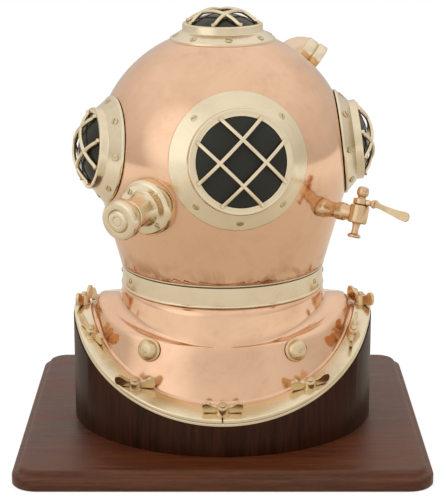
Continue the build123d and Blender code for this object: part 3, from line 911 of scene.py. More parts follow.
@dataclass
class Stand:
    """The plinth and the oval drum.

    The moulding's pairs are inset from the plinth's edge and height.
    """

    width: float = 440.6
    depth: float = 402.0
    thickness: float = 19.8
    corner: float = 28.0
    drum: Oval = Oval(166.8, 153.6)
    drum_sides: int = 144
    drum_shares: tuple[float, ...] = (1.0, 0.992, 0.8, 0.6, 0.4, 0.2, 0.01)
    chamfer: float = 0.8
    gap: float = 0.3
    moulding: Profile = (
        (1.2, 0.0), (0.0, 1.2), (0.0, 10.6), (0.7, 12.0), (2.4, 13.2), (4.6, 13.8), (6.2, 14.6),
        (6.8, 15.8), (7.4, 17.6), (8.6, 18.9), (10.4, 19.6), (13.0, 19.8))

    def outline(self, inset: float, height: float) -> list[Vector]:
        """The plinth's rounded rectangle.

        Args:
            inset: how far it lies inside the plinth's edge.
            height: its level.

        Returns:
            Its points.
        """
        radius = max(self.corner - inset, 2.0)
        row = []
        for quarter, (sign_x, sign_y) in enumerate(((1, 1), (-1, 1), (-1, -1), (1, -1))):
            x = sign_x * (self.width / 2 - inset - radius)
            y = sign_y * (self.depth / 2 - inset - radius)
            for step in range(13):
                angle = math.pi / 2 * (quarter + step / 12)
                row.append(Vector((x + radius * math.cos(angle), y + radius * math.sin(angle),
                                   height)))
        return row

    def build(self) -> None:
        """Makes both pieces."""
        rows = [self.outline(inset, height) for inset, height in self.moulding]
        Form().rows(rows, capped=True).finish(
            "moulded_plinth", Body.STAND, PLINTH_WOOD, ["plinth"], sharp=50)
        loop = [self.drum.point(FULL_TURN * k / self.drum_sides) for k in range(self.drum_sides)]
        rows = [[Vector((x, y, self.thickness)) for x, y in loop]]
        for share in self.drum_shares:
            drop = self.chamfer if share == 1.0 else 0.0
            rows.append([Vector((share * x, share * y, SADDLE.height(share * y, -self.gap) - drop))
                         for x, y in loop])
        Form().rows(rows, capped=True).finish(
            "oval_drum", Body.STAND, DRUM_WOOD, ["stand_drum"], sharp=50)


@dataclass
class Corselet:
    """The breast plate's shell, its rim and its brails.

    Args:
        skirt_slope: fall of the neck's skirt to a millimetre outwards.
        shoulder: the chest's oval at the shoulders' height.
        shoulder_height: level of that oval.
        chest_angle: lean of the chest in degrees.
        tent: the shoulders' top.
        rim: outer edge of the rim and the brails.
        rim_inner: inner edge of the rim.
        rim_thickness: the rim's thickness.
        brail_inner: inner edge of the brails.
        brail_thickness: the brails' thickness.
        brail_crown: how much higher a brail's middle line is.
        split_angle: half the gap between two brails.
        wall: thickness of the shell.
        brow_share: how far up the brails' edge the shell ends.
        bends: sizes of the shell's bends from the neck outwards.
        bend_share: largest share of a side that a bend takes.
        least_shelf: shortest top of the shoulders before they become one knee.
        least_chest: least height of the chest.
        knee_drop: the knee's second corner from its first.
        tuck: how far the shell's edge lies inside the brails.
        columns: how many directions the shell is built in.
    """

    skirt_slope: float = 0.13
    shoulder: Oval = Oval(139.0, 112.0)
    shoulder_height: float = 155.5
    chest_angle: float = 13.5
    tent: Roof = Roof(157.77, 13.5, 80.0)
    rim: Oval = Oval(166.0, 152.5)
    rim_inner: Oval = Oval(138.0, 130.5)
    rim_thickness: float = 2.6
    brail_inner: Oval = Oval(147.0, 135.6)
    brail_thickness: float = 3.6
    brail_crown: float = 0.5
    split_angle: float = 0.8 / 2 / 150
    wall: float = 2.0
    brow_share: float = 0.75
    bends: tuple[float, float, float] = (9.0, 8.0, 6.0)
    bend_share: float = 0.49
    least_shelf: float = 1.5
    least_chest: float = 2.0
    knee_drop: Pair = (0.8, -3.2)
    tuck: float = 0.2
    columns: int = 160

    def section(self, angle: float, steps: int = 6) -> list[Vector]:
        """The shell's outline in one direction, from the neck ring to the rim.

        Args:
            angle: the direction.
            steps: how many straight pieces make a bend.

        Returns:
            Its points.
        """
        slope = math.tan(math.radians(self.chest_angle))
        way = Vector((math.cos(angle), math.sin(angle)))

        def roof(r: float) -> float:
            """Height of the shoulders' top at a distance from the axis."""
            return self.tent.height(r * way.y)

        def wall(z: float) -> float:
            """Distance of the chest from the axis at a height."""
            return self.shoulder.reach(angle, slope * (self.shoulder_height - z))

        def solve(gap: Callable[[float], float], low: float, high: float) -> float:
            """Where a gap that starts positive closes, by halving.

            Args:
                gap: the gap at a place.
                low: the place to start from.
                high: a place beyond it.

            Returns:
                The place.
            """
            for _ in range(40):
                middle = (low + high) / 2
                low, high = (middle, high) if gap(middle) > 0 else (low, middle)
            return low

        start = Vector((NECK_RADIUS, NECK_BOTTOM))
        inner_r = solve(lambda r: NECK_BOTTOM - (r - NECK_RADIUS) / self.skirt_slope - roof(r),
                        NECK_RADIUS, NECK_RADIUS + 20)
        outer_r = solve(lambda r: wall(roof(r)) - r, NECK_RADIUS - 10, 180)
        brow = self.rim_thickness + self.brow_share * self.brail_thickness
        foot_z = solve(lambda z: z - SADDLE.height(wall(z) * way.y, brow), 180, 30)
        foot_z = min(foot_z, roof(outer_r) - self.least_chest)
        if outer_r <= inner_r + self.least_shelf:
            knee = Vector(((inner_r + max(outer_r, inner_r)) / 2, roof(inner_r)))
            inner, outer = knee, knee + Vector(self.knee_drop)
        else:
            inner, outer = Vector((inner_r, roof(inner_r))), Vector((outer_r, roof(outer_r)))
        foot = Vector((wall(foot_z), foot_z))
        edge_r = self.brail_inner.reach(angle, -self.tuck)
        edge = Vector((edge_r, SADDLE.height(edge_r * way.y, brow)))
        made = [start]
        corners = [start, inner, outer, foot, edge]
        for k, size in enumerate(self.bends):
            before, corner, after = corners[k:k + 3]
            size = min(size, self.bend_share * (corner - before).length,
                       self.bend_share * (after - corner).length)
            a = corner + (before - corner).normalized() * size
            b = corner + (after - corner).normalized() * size
            last = made[-1]
            made += [last.lerp(a, step / 4) for step in range(1, 4)]
            for step in range(steps + 1):
                t = step / steps
                made.append(a * (1 - t) ** 2 + corner * 2 * t * (1 - t) + b * t * t)
        made.append(edge)
        return [Vector((way.x * point.x, way.y * point.x, point.y)) for point in made]

    def band(self, inner: Oval, outer: Oval, low: float, high: float, start: float, end: float,
             crown: float = 0.0, steps: int = 60) -> Form:
        """A strip between two ovals and two lifts of the saddle.

        Args:
            inner: the inner oval.
            outer: the outer oval.
            low: lift of its underside.
            high: lift of its edges' top.
            start: angle it starts at.
            end: angle it ends at.
            crown: how much higher its middle is.
            steps: how many pieces make it.

        Returns:
            The strip.
        """
        whole = end - start > FULL_TURN - 0.001
        section = ((0.0, low), (0.0, high), (0.5, high + crown), (1.0, high), (1.0, low))
        rows = []
        for step in range(steps if whole else steps + 1):
            angle = start + (end - start) * step / steps
            a, b = inner.point(angle), outer.point(angle)
            row = []
            for share, lift in section:
                x, y = a[0] + (b[0] - a[0]) * share, a[1] + (b[1] - a[1]) * share
                row.append(Vector((x, y, SADDLE.height(y, lift))))
            rows.append(row)
        return Form().rows(rows, whole, not whole)

    def build(self) -> None:
        """Makes the shell, the rim and the brails."""
        columns = [self.section(FULL_TURN * k / self.columns) for k in range(self.columns)]
        Form().rows(zip(*columns)).finish(
            "beaten_corselet", Body.CORSELET, COPPER, ["corselet_shell"], wall=self.wall, sharp=60)
        low, high = self.rim_thickness, self.rim_thickness + self.brail_thickness
        self.band(self.rim_inner, self.rim, 0.0, low, 0.0, FULL_TURN, 0.0, self.columns).finish(
            "rolled_rim", Body.CORSELET, BRASS, ["corselet_rim"], 0.7)
        quarters = {"front_right_brail": 3, "front_left_brail": 2, "rear_left_brail": 1,
                    "rear_right_brail": 0}
        for name, quarter in quarters.items():
            start = quarter * math.pi / 2 + self.split_angle
            end = start + math.pi / 2 - 2 * self.split_angle
            self.band(self.brail_inner, self.rim, low, high, start, end, self.brail_crown).finish(
                "smooth_" + name, Body.CORSELET, BRASS, [name], 1.1, segments=3)


@dataclass
class WingNuts:
    """The twelve wing nuts with their studs and washers.

    The angles are bearings from the front, and the twists turn each nut's wings from the line of
    its brail.
    """

    line: Oval = Oval(155.0, 143.3)
    lift: float = 6.2
    twists: tuple[float, ...] = (5.0, 14.0, -18.0, 8.0, 24.0, 0.0, -12.0, 17.0, 35.0, -8.0, 30.0,
                                 11.0)
    angles: tuple[float, ...] = (-249, -219, -90, -69, -39, 0, 39, 69, 90, 180, 219, 249)
    hub: Profile = ((0.0, -0.2), (7.6, -0.2), (7.6, 0.9), (6.7, 1.4), (6.5, 3.0), (5.9, 9.6),
                    (5.3, 10.8), (3.3, 11.0), (3.3, 12.6), (2.7, 13.6), (0.0, 13.8))
    wing: Profile = (
        (3.0, 1.2), (12.0, 1.2), (19.0, 2.4), (21.4, 6.0), (21.8, 11.0), (20.6, 15.2), (17.6, 16.8),
        (14.2, 15.8), (11.4, 12.8), (8.0, 10.8), (5.0, 10.2), (2.4, 10.0))
    thickness: float = 3.6

    def seat(self, angle: float, twist: float) -> Seat:
        """The place of one nut, square to its brail.

        Args:
            angle: its bearing from the front in degrees.
            twist: turn of its wings from the brail's line in degrees.

        Returns:
            The seat.
        """
        across = math.radians(angle)
        way = Vector((math.sin(across), -math.cos(across), 0))
        size = 1 / math.hypot(way.x / self.line.half_width, way.y / self.line.half_depth)
        foot = way * size
        foot.z = SADDLE.height(foot.y, self.lift)
        normal = SADDLE.normal(foot.y, self.lift)
        along = Vector((-way.y / self.line.half_depth ** 2, way.x / self.line.half_width ** 2, 0))
        return Seat.facing(foot, normal, Seat.facing(foot, normal, along).way(twist))

    def build(self) -> None:
        """Makes all of them as one piece."""
        form, wing = Form(), smooth_loop(self.wing, 4)
        for angle, twist in zip(self.angles, self.twists):
            seat = self.seat(angle, twist)
            form.lathe(seat, self.hub, 28)
            for sign in (1, -1):
                upright = Seat(seat.origin, seat.across * sign, seat.out, seat.up)
                form.slab(upright, wing, -self.thickness / 2, self.thickness / 2)
        form.finish("cast_wing_nuts", Body.CORSELET, CAST_BRASS, ["wing_nuts"], 0.8, segments=3)


@dataclass
class NeckJoint:
    """The two rings, the leather washer between them, and the ring's small screws.

    The profiles are pairs from the ring's corner that they are named after.
    """

    bore: float = 107.3
    top: float = 192.4
    bead: Profile = ((0.0, 0.0), (0.78, 0.25), (1.3, 1.3), (0.78, 2.5), (0.0, 3.0))
    brow: Profile = ((0.0, -0.5), (-0.5, 0.0))
    gasket: Pair = (4.0, 1.2)
    lip: Pair = (193.9, 195.5)
    lip_edge: Profile = ((-0.4, 0.0), (0.0, 0.4))
    overhang: float = 1.0
    spigot: float = 107.0
    spigot_wall: float = 4.3
    spigot_bottom: float = 178.9
    screw_level: float = 183.0
    screw_bearings: tuple[float, ...] = (-26.0, 0.0, 26.0, 154.0, 180.0, 206.0)
    head: tuple[float, float, float] = (2.8, 1.1, 0.16)

    def build(self) -> None:
        """Makes the rings, the washer and the screws."""
        ring = Seat.level()
        sides = 160
        lower = [(self.bore, NECK_BOTTOM)] + shift(self.bead, NECK_RADIUS, NECK_BOTTOM)
        lower += shift(self.brow, NECK_RADIUS, self.top) + [(self.bore, self.top)]
        Form().lathe(ring, lower, sides, True).finish("turned_neck_ring", Body.CORSELET, BRASS,
                                                      ["corselet_neck_ring"], 0.25)
        width, height = self.gasket
        washer = shift([(0.0, 0.0), (width, 0.0), (width, height), (0.0, height)], self.bore,
                       self.top)
        Form().lathe(ring, washer, sides, True).finish("leather_washer", Body.CORSELET, LEATHER,
                                                       ["neck_gasket"])
        low, high = self.lip
        edge = NECK_RADIUS + self.overhang
        inside = self.spigot - self.spigot_wall
        upper = [(inside, self.spigot_bottom), (self.spigot, self.spigot_bottom)]
        upper += [(self.spigot, low)] + shift(self.lip_edge, edge, low)
        upper += shift([(x, -y) for x, y in reversed(self.lip_edge)], edge, high) + [(inside, high)]
        Form().lathe(ring, upper, sides, True).finish("turned_bonnet_ring", Body.BONNET, BRASS,
                                                      ["bonnet_neck_ring"], 0.2)
        screws = Form()
        for bearing in self.screw_bearings:
            out = ring.way(bearing)
            seat = Seat.facing(out * NECK_RADIUS + ring.out * self.screw_level, out, ring.out)
            screws.screw(seat, *self.head)
        screws.finish("neck_ring_screws", Body.CORSELET, SCREW_BRASS, bevel=SCREW_EDGE)


@dataclass
class Window:
    """One window: its frame, glass, guard and screws.

    Args:
        name: the window's name.
        seat: its axis from the ball's middle.
        flange: radius of the flange.
        rim: radius of the raised rim.
        bore: radius of the opening.
        base: height of the rim's foot.
        face: height of the rim's face.
        screw_angles: places of the flange's screws.
        pitch_share: distance of the bars from the middle, as a share of the rim.
    """

    name: str
    seat: Seat
    flange: float = 57.0
    rim: float = 43.5
    bore: float = 37.0
    base: float = 142.6
    face: float = 151.2
    screw_angles: tuple[float, ...] = (0, 45, 90, 135, 180, 225, 270, 315)
    pitch_share: float = 0.355
    flange_edge: float = 3.0
    seat_gap: float = 0.95
    ledge: float = 3.5
    brim: Profile = ((0.0, -0.8), (-0.7, -0.1), (-1.6, 0.25))
    rim_foot: Profile = ((2.2, -0.7), (0.7, -0.2), (0.0, 0.6))
    rim_edge: Profile = ((0.0, -1.4), (-0.5, -0.4), (-1.5, 0.0))
    bore_edge: Profile = ((1.2, 0.0), (0.3, -0.4), (0.0, -1.2))
    bar: float = 4.0
    bar_corner: Profile = ((0.72, -1.0), (1.0, -0.4), (1.0, 0.3), (0.55, 1.0))
    rise: float = 11.0
    foot: float = 2.0
    foot_bend: float = 4.5
    foot_sink: float = 0.6
    reach_share: float = 0.94
    pane_gap: float = 0.1
    pane_back: float = 0.05
    pane_sink: float = 1.0
    crown_gap: float = 0.8
    head: tuple[float, float, float] = (4.0, 0.65, 0.2)
    head_shift: float = 0.5
    slot_turn: tuple[int, int] = (20, 37)

    def depth(self, radius: float) -> float:
        """How far out a circle of this radius lies on the ball."""
        return math.sqrt(BALL.radius ** 2 - radius ** 2)

    @property
    def brow(self) -> float:
        """Height of the flange's top at its edge."""
        return self.depth(self.flange) + self.seat_gap + self.flange_edge

    def frame_profile(self) -> list[Pair]:
        """The frame's section: flange edge, cone, raised rim with its groove, bore and seat.

        Returns:
            Radius and height pairs.
        """
        return ([(self.flange, self.depth(self.flange) + self.seat_gap)]
                + shift(self.brim, self.flange, self.brow)
                + shift(self.rim_foot, self.rim, self.base)
                + shift(self.rim_edge, self.rim, self.face)
                + shift(self.bore_edge, self.bore, self.face)
                + [(self.bore, self.depth(self.bore) + self.seat_gap)])

    def pane_profile(self, steps: int = 12) -> list[Pair]:
        """The glass's section: a flat back, and a domed face that fills the guard's arch.

        Args:
            steps: how many straight pieces make the dome.

        Returns:
            Radius and height pairs.
        """
        edge = self.bore - self.pane_gap
        crown = self.face + self.rise - self.crown_gap
        dome = crown - (self.face - self.pane_sink)
        bulge = (edge ** 2 + dome ** 2) / (2 * dome)
        swing = math.asin(edge / bulge)
        back = self.depth(self.bore - self.ledge) + self.pane_back
        angles = [swing * step / steps for step in range(steps, -1, -1)]
        return [(0.0, back), (edge, back)] + [
            (bulge * math.sin(angle), crown - bulge * (1 - math.cos(angle))) for angle in angles]

    def bar_path(self, offset: float, steps: int = 24) -> list[Pair]:
        """Along and out pairs of one bar's middle line.

        Args:
            offset: its distance from the window's middle.
            steps: how many straight pieces make the arch.

        Returns:
            The pairs.
        """
        end = math.sqrt((self.rim * self.reach_share) ** 2 - (offset + self.bar / 2) ** 2)
        span = end - self.foot_bend
        radius = (span ** 2 + self.rise ** 2) / (2 * self.rise)
        swing = math.asin(span / radius)
        middle = self.bar / 2
        angles = [swing * (2 * step / steps - 1) for step in range(steps + 1)]
        top = self.face + self.rise
        arc = [(radius * math.sin(angle), top - radius * (1 - math.cos(angle)) + middle)
               for angle in angles]
        low = self.face + middle - self.foot_sink
        return [(-end, low), (-end + self.foot, low)] + arc + [(end - self.foot, low), (end, low)]

    def guard(self) -> Form:
        """Four arched bars, crossed in pairs.

        Returns:
            The bars.
        """
        form = Form()
        half = self.bar / 2
        edge = [(x * half, y * half) for x, y in self.bar_corner]
        section = smooth_loop([(-edge[0][0], edge[0][1])] + edge
                              + [(-x, y) for x, y in reversed(edge[1:])], 2)
        offset = self.rim * self.pitch_share
        for quarter in (45, 135):
            along = self.seat.way(quarter)
            across = self.seat.out.cross(along)
            for side in (-1, 1):
                start = self.seat.origin + across * (side * offset)
                path = [start + along * x + self.seat.out * out for x, out in self.bar_path(offset)]
                form.tube(path, across, section)
        return form

    def screws(self) -> Form:
        """The flange's screws, square to its cone, each slot at its own angle.

        Returns:
            The screws.
        """
        form = Form()
        width = self.flange - self.rim
        radius = (self.flange + self.rim) / 2 + self.head_shift
        slope = math.atan2(self.base - self.brow, width)
        height = self.brow + (self.base - self.brow) * ((self.flange - radius) / width)
        first, turn = self.slot_turn
        for step, bearing in enumerate(self.screw_angles):
            way = self.seat.way(bearing)
            spot = self.seat.round(radius, math.radians(bearing), height)
            normal = self.seat.out * math.cos(slope) + way * math.sin(slope)
            slot = Seat(spot, way, self.seat.out.cross(way), normal).way(turn * step + first)
            form.screw(Seat.facing(spot, normal, slot), *self.head)
        return form

    def build(self) -> None:
        """Makes the frame, glass, guard and screws."""
        name = self.name
        Form().lathe(self.seat, self.frame_profile(), 128, True).finish(
            f"turned_{name}_frame", Body.BONNET, BRASS, [f"{name}_frame"], 0.2, 45)
        Form().lathe(self.seat, self.pane_profile(), 96).finish(
            f"bevelled_{name}_glass", Body.BONNET, GLASS, [f"{name}_glass"])
        self.guard().finish(f"arched_{name}_guard", Body.BONNET, BRASS, [f"{name}_guard"], 0.25)
        self.screws().finish(f"{name}_screws", Body.BONNET, SCREW_BRASS, bevel=SCREW_EDGE)


@dataclass
class Bonnet:
    """The beaten ball with its four windows."""

    yaw: float = 7.4
    left_turn: float = 78.9
    right_turn: float = 83.8
    side_elevation: float = 6.8
    front_elevation: float = 8.8
    wall: float = 2.0
    crown_drop: float = 1.196
    crown_sink: float = 4.0
    cells: int = 72

    def windows(self) -> list[Window]:
        """The four windows in their places.

        Returns:
            The front, left, right and top one.
        """
        centre, side = BALL.centre, self.side_elevation
        crown = Seat.looking(centre - Vector((0, 0, self.crown_drop)), self.yaw, 90)
        small = Window("top_window", crown)
        return [Window("front_window", Seat.looking(centre, self.yaw, self.front_elevation),
                       72.0, 54.3, 46.4, 139.5, 150.5, (45, 135, 225, 270, 315), 0.305),
                Window("left_window", Seat.looking(centre, self.yaw - self.left_turn, side)),
                Window("right_window", Seat.looking(centre, self.yaw + self.right_turn, side)),
                replace(small, base=small.base - self.crown_sink,
                        face=small.face - self.crown_sink)]

    def build(self) -> None:
        """Makes the ball and the windows."""
        windows = self.windows()
        elbow = Elbow()
        holes = [(window.seat.out, window.bore - window.ledge) for window in windows]
        holes.append((elbow.seat.out, elbow.bore))
        Form().ball(BALL, self.cells, holes).finish(
            "beaten_bonnet", Body.BONNET, COPPER, ["bonnet_shell"], wall=self.wall, sharp=60)
        for window in windows:
            window.build()


@dataclass
class Exhaust:
    """The exhaust valve: flanged base, spindle and hand wheel.

    The profiles are pairs from the corner, face or edge that they are named after.
    """

    seat: Seat = field(default_factory=lambda: Seat.looking(Vector((0, 0, 295.8)), -33.2, -5.2))
    flange: float = 30.0
    face: float = 150.0
    neck: float = 16.0
    neck_face: float = 175.0
    bore: float = 5.2
    bore_depth: float = 25.0
    roots: tuple[float, ...] = (0.0, 15.0, 24.0)
    flange_edge: Profile = ((0.0, -3.4), (-0.5, -2.4), (-3.2, -0.3), (-4.2, 0.0))
    hollow: Profile = ((20.5, 0.0), (18.6, 0.6), (17.6, 2.2), (17.0, 5.0), (16.0, 8.0))
    neck_edge: Profile = ((0.0, -1.0), (-1.0, 0.0))
    spindle: float = 5.0
    spindle_length: float = 37.5
    wheel: float = 21.0
    wheel_bore: float = 5.06
    wheel_back: float = 181.5
    wheel_front: float = 194.5
    heel: Profile = ((-2.0, 0.0), (-0.6, 0.6), (0.0, 2.0))
    tread: Profile = ((0.0, -3.0), (-0.7, -1.1), (-2.4, -0.1), (-4.0, 0.1))
    boss: Profile = ((12.7, 0.0), (11.9, -0.9), (11.3, -0.4), (10.8, 1.2), (9.4, 1.9), (6.0, 2.0))
    cap: Profile = ((0.0, -1.0), (5.3, -1.0), (5.3, 1.2), (4.7, 1.9), (0.0, 2.0))
    bore_lip: float = 1.8
    chamfer: float = 0.6
    screw_circle: float = 23.2
    screw_angles: tuple[float, ...] = (45, 135, 225, 315)
    slot_turn: tuple[int, int] = (15, 50)
    head: tuple[float, float, float] = (3.6, 0.8, 0.17)

    def build(self) -> None:
        """Makes the base, spindle, wheel and flange screws."""
        floor = self.neck_face - self.bore_depth
        base = [(radius, None) for radius in (*self.roots, self.flange)]
        base += shift(self.flange_edge, self.flange, self.face) + shift(self.hollow, 0.0, self.face)
        base += shift(self.neck_edge, self.neck, self.neck_face)
        base += [(self.bore, self.neck_face), (self.bore, floor), (0.0, floor)]
        Form().lathe(self.seat, base, 80, ground=BALL).finish(
            "turned_exhaust_base", Body.BONNET, BRASS, ["exhaust_valve_base"], 0.25)
        back, front = self.wheel_back, self.wheel_front
        tail = front - self.spindle_length
        rod = [(0.0, tail), (self.spindle - self.chamfer, tail),
               (self.spindle, tail + self.chamfer), (self.spindle, front), (0.0, front)]
        Form().lathe(self.seat, rod, 32).finish(
            "turned_exhaust_spindle", Body.SPINDLE, BRASS, ["exhaust_spindle"], 0.2)
        wheel = [(self.wheel_bore, back)] + shift(self.heel, self.wheel, back)
        wheel += shift(self.tread, self.wheel, front) + shift(self.boss, 0.0, front)
        wheel += [(self.wheel_bore, front + self.bore_lip)]
        form = Form().lathe(self.seat, wheel, 96, True)
        form.lathe(self.seat, shift(self.cap, 0.0, front), 32)
        form.finish("turned_exhaust_wheel", Body.WHEEL, BRASS, ["exhaust_wheel"], 0.15)
        screws = Form()
        first, turn = self.slot_turn
        for step, bearing in enumerate(self.screw_angles):
            spot = self.seat.round(self.screw_circle, math.radians(bearing), self.face)
            slot = self.seat.way(turn * step + first)
            screws.screw(Seat.facing(spot, self.seat.out, slot), *self.head)
        screws.finish("exhaust_flange_screws", Body.BONNET, SCREW_BRASS, bevel=SCREW_EDGE)


@dataclass
class Spitcock:
    """The spitcock: its body, its tapered plug and the lever.

    Args:
        turn: degrees of the cock from the front.
        height: level of its axis.
        tilt: lean of the plug in degrees.
        body: the body's profile from the helmet's axis.
        barrel: the upright barrel's profile.
        plug: the plug's profile with its knob.
        shaft_rise: how far up the plug the lever sits.
        shaft: profile of the lever's pivot.
        blade: the lever's outline.
        blade_half: half the lever's thickness.
    """

    turn: float = 50.4
    height: float = 274.7
    tilt: float = 18.5
    body: Profile = (
        (0.0, 133.4), (10.0, 133.4), (10.0, 141.4), (9.4, 142.6), (8.6, 145.9), (8.0, 151.0),
        (8.0, 156.2), (8.4, 157.0), (9.3, 157.8), (9.3, 165.3), (8.6, 166.1), (8.0, 167.2),
        (8.0, 183.0), (0.0, 183.0))
    barrel: Profile = ((5.3, -9.4), (8.6, -9.5), (9.6, -8.9), (10.0, -7.6), (10.0, 7.6), (9.6, 8.9),
                       (8.6, 9.5), (5.3, 9.4))
    plug: Profile = (
        (0.0, -25.0), (5.6, -24.8), (6.8, -23.9), (6.9, -22.2), (5.6, -21.1), (3.9, -20.6),
        (3.4, -16.0), (3.9, -11.0), (4.8, -9.9), (5.2, -9.6), (5.2, 9.7), (7.2, 9.9), (8.0, 10.7),
        (8.0, 15.2), (7.2, 16.0), (4.6, 16.4), (4.0, 17.6), (4.6, 18.9), (5.8, 20.2), (6.3, 22.4),
        (6.2, 25.4), (5.2, 27.8), (3.2, 28.8), (0.0, 29.0))
    shaft_rise: float = 12.8
    shaft: Profile = ((0.0, 7.6), (3.4, 7.6), (3.2, 10.0), (2.6, 12.0), (2.9, 14.0), (4.2, 15.0),
                      (4.6, 16.4), (4.0, 17.8), (0.0, 18.4))
    blade: Profile = (
        (15.0, -2.6), (16.2, 1.6), (18.0, 4.6), (20.2, 3.6), (24.0, 1.7), (36.0, -0.4),
        (48.0, -2.0), (55.0, -2.0), (59.6, -3.6), (61.0, -7.2), (60.0, -10.6), (56.6, -12.0),
        (48.0, -10.2), (36.0, -6.8), (24.0, -3.8))
    blade_half: float = 1.5

    def build(self) -> None:
        """Makes the three pieces."""
        seat = Seat.looking(Vector((0, 0, self.height)), self.turn, 0)
        rise = seat.way(90 - self.tilt)
        upright = Seat.facing(seat.at(0, 0, self.body[-1][1]), rise, seat.out)
        form = Form().lathe(seat, self.body, 48).lathe(upright, self.barrel, 48, True)
        form.finish("turned_spitcock_body", Body.BONNET, RED_BRASS, ["spitcock_body"], 0.25)
        Form().lathe(upright, self.plug, 40).finish(
            "turned_spitcock_plug", Body.HANDLE, RED_BRASS, ["spitcock_plug"], 0.15)
        pivot = upright.at(0, 0, self.shaft_rise)
        form = Form().lathe(Seat.facing(pivot, seat.out, rise), self.shaft, 32)
        blade = Seat(pivot, seat.out, rise, rise.cross(seat.out))
        form.slab(blade, smooth_loop(self.blade, 4), -self.blade_half, self.blade_half)
        form.finish("filed_spitcock_lever", Body.HANDLE, CAST_BRASS, ["spitcock_lever"], 0.9,
                    segments=3)


@dataclass
class Elbow:
    """The air inlet: a bent copper tube on a flange, and its brass union.

    Args:
        seat: its axis from the ball's middle.
        end_way: rough direction of the tube's end.
        radius: the tube's outer radius.
        bore: the tube's inner radius.
        legs: lengths of the straight pieces that the bend is drawn through.
        flange: the flange's profile.
        union: the union's profile, from the tube's end.
    """

    seat: Seat = field(default_factory=lambda: Seat.looking(BALL.centre, 130.0, 46.6))
    end_way: Vector = field(default_factory=lambda: Vector((0.853, -0.017, -0.520)))
    radius: float = 13.3
    bore: float = 9.5
    legs: tuple[float, ...] = (7.6, 7.0, 7.0, 4.5)
    flange: Profile = ((9.5, 139.6), (12.0, 139.5), (17.0, 138.9), (17.0, 140.6), (16.2, 141.4),
                       (13.4, 141.7), (12.5, 142.7), (9.9, 142.7))
    union: Profile = (
        (9.5, 0.0), (13.2, -5.6), (14.2, -5.2), (14.6, -4.2), (14.6, 5.4), (14.0, 6.4), (13.2, 7.0),
        (13.2, 7.6), (15.0, 8.2), (15.6, 9.2), (15.6, 17.4), (15.0, 18.6), (13.8, 19.0),
        (10.4, 19.0), (9.5, 18.0))

    def path(self, side: Vector, steps: int = 18) -> list[Vector]:
        """The tube's middle line.

        Args:
            side: the direction that the tube turns to.
            steps: how many pieces make the bend.

        Returns:
            Its points, the last one at the union.
        """
        start = math.sqrt(BALL.radius ** 2 - self.bore ** 2) + 0.1
        points = [self.seat.at(0, 0, start)]
        for step, leg in enumerate(self.legs):
            swing = math.pi / 2 * step / (len(self.legs) - 1)
            way = self.seat.out * math.cos(swing) + side * math.sin(swing)
            points.append(points[-1] + way * leg)
        foot, first, second, third, end = points
        a, b = first.lerp(foot, 0.5), first * 0.6 + second * 0.4
        c, d = second * 0.4 + third * 0.6, third.lerp(end, 0.4)
        bend = [a * (1 - t) ** 3 + b * 3 * t * (1 - t) ** 2 + c * 3 * t * t * (1 - t) + d * t ** 3
                for t in (step / steps for step in range(steps + 1))]
        return [foot, *bend, end]

    def build(self) -> None:
        """Makes the tube with its flange, and the union with its nut."""
        rise = self.seat.out
        side = (self.end_way - rise * self.end_way.dot(rise)).normalized()
        line = self.path(side)
        across = rise.cross(side).normalized()
        form = Form()
        for radius in (self.radius, self.bore):
            form.tube(line, across, circle(radius, 48), False)
        form.lathe(self.seat, self.flange, 64, True)
        form.finish("bent_air_elbow", Body.BONNET, TUBE_COPPER, ["air_elbow"], 0.2)
        Form().lathe(Seat.facing(line[-1], side, rise), self.union, 64, True).finish(
            "turned_air_union", Body.BONNET, BRASS, ["air_union"], 0.2)


@dataclass
class HarnessButtons:
    """The two studs on the chest, with the screw in the middle of each.

    Each stands square to the chest, as far from the middle as the spacing says.
    """

    spacing: float = 78.0
    height: float = 122.0
    profile: Profile = (
        (0.0, 0.3), (12.6, 0.3), (13.0, 1.0), (12.8, 2.0), (11.9, 2.7), (10.6, 3.0), (10.4, 3.6),
        (10.9, 4.6), (10.8, 6.4), (9.6, 8.2), (7.4, 9.6), (4.4, 10.4), (0.0, 10.6))
    screw_rise: float = 10.2
    head: tuple[float, float, float] = (3.4, 0.7, 0.18)

    def build(self) -> None:
        """Makes both."""
        form, screws = Form(), Form()
        chest = Corselet()
        lean = math.radians(chest.chest_angle)
        spread = math.tan(lean) * (chest.shoulder_height - self.height)
        width, depth = chest.shoulder.half_width + spread, chest.shoulder.half_depth + spread
        for side in (-1, 1):
            x = side * self.spacing
            y = -depth * math.sqrt(1 - (x / width) ** 2)
            plan = Vector((x / width ** 2, y / depth ** 2, 0)).normalized()
            out = plan * math.cos(lean) + Vector((0, 0, math.sin(lean)))
            seat = Seat.facing(Vector((x, y, self.height)), out, Vector((0, 0, 1)))
            form.lathe(seat, self.profile, 48)
            screws.screw(Seat.facing(seat.at(0, 0, self.screw_rise), out, Vector((side, 0, 0.6))),
                         *self.head)
        form.finish("turned_harness_buttons", Body.CORSELET, CAST_BRASS, ["harness_buttons"], 0.15)
        screws.finish("harness_button_screws", Body.CORSELET, SCREW_BRASS, bevel=0.1)


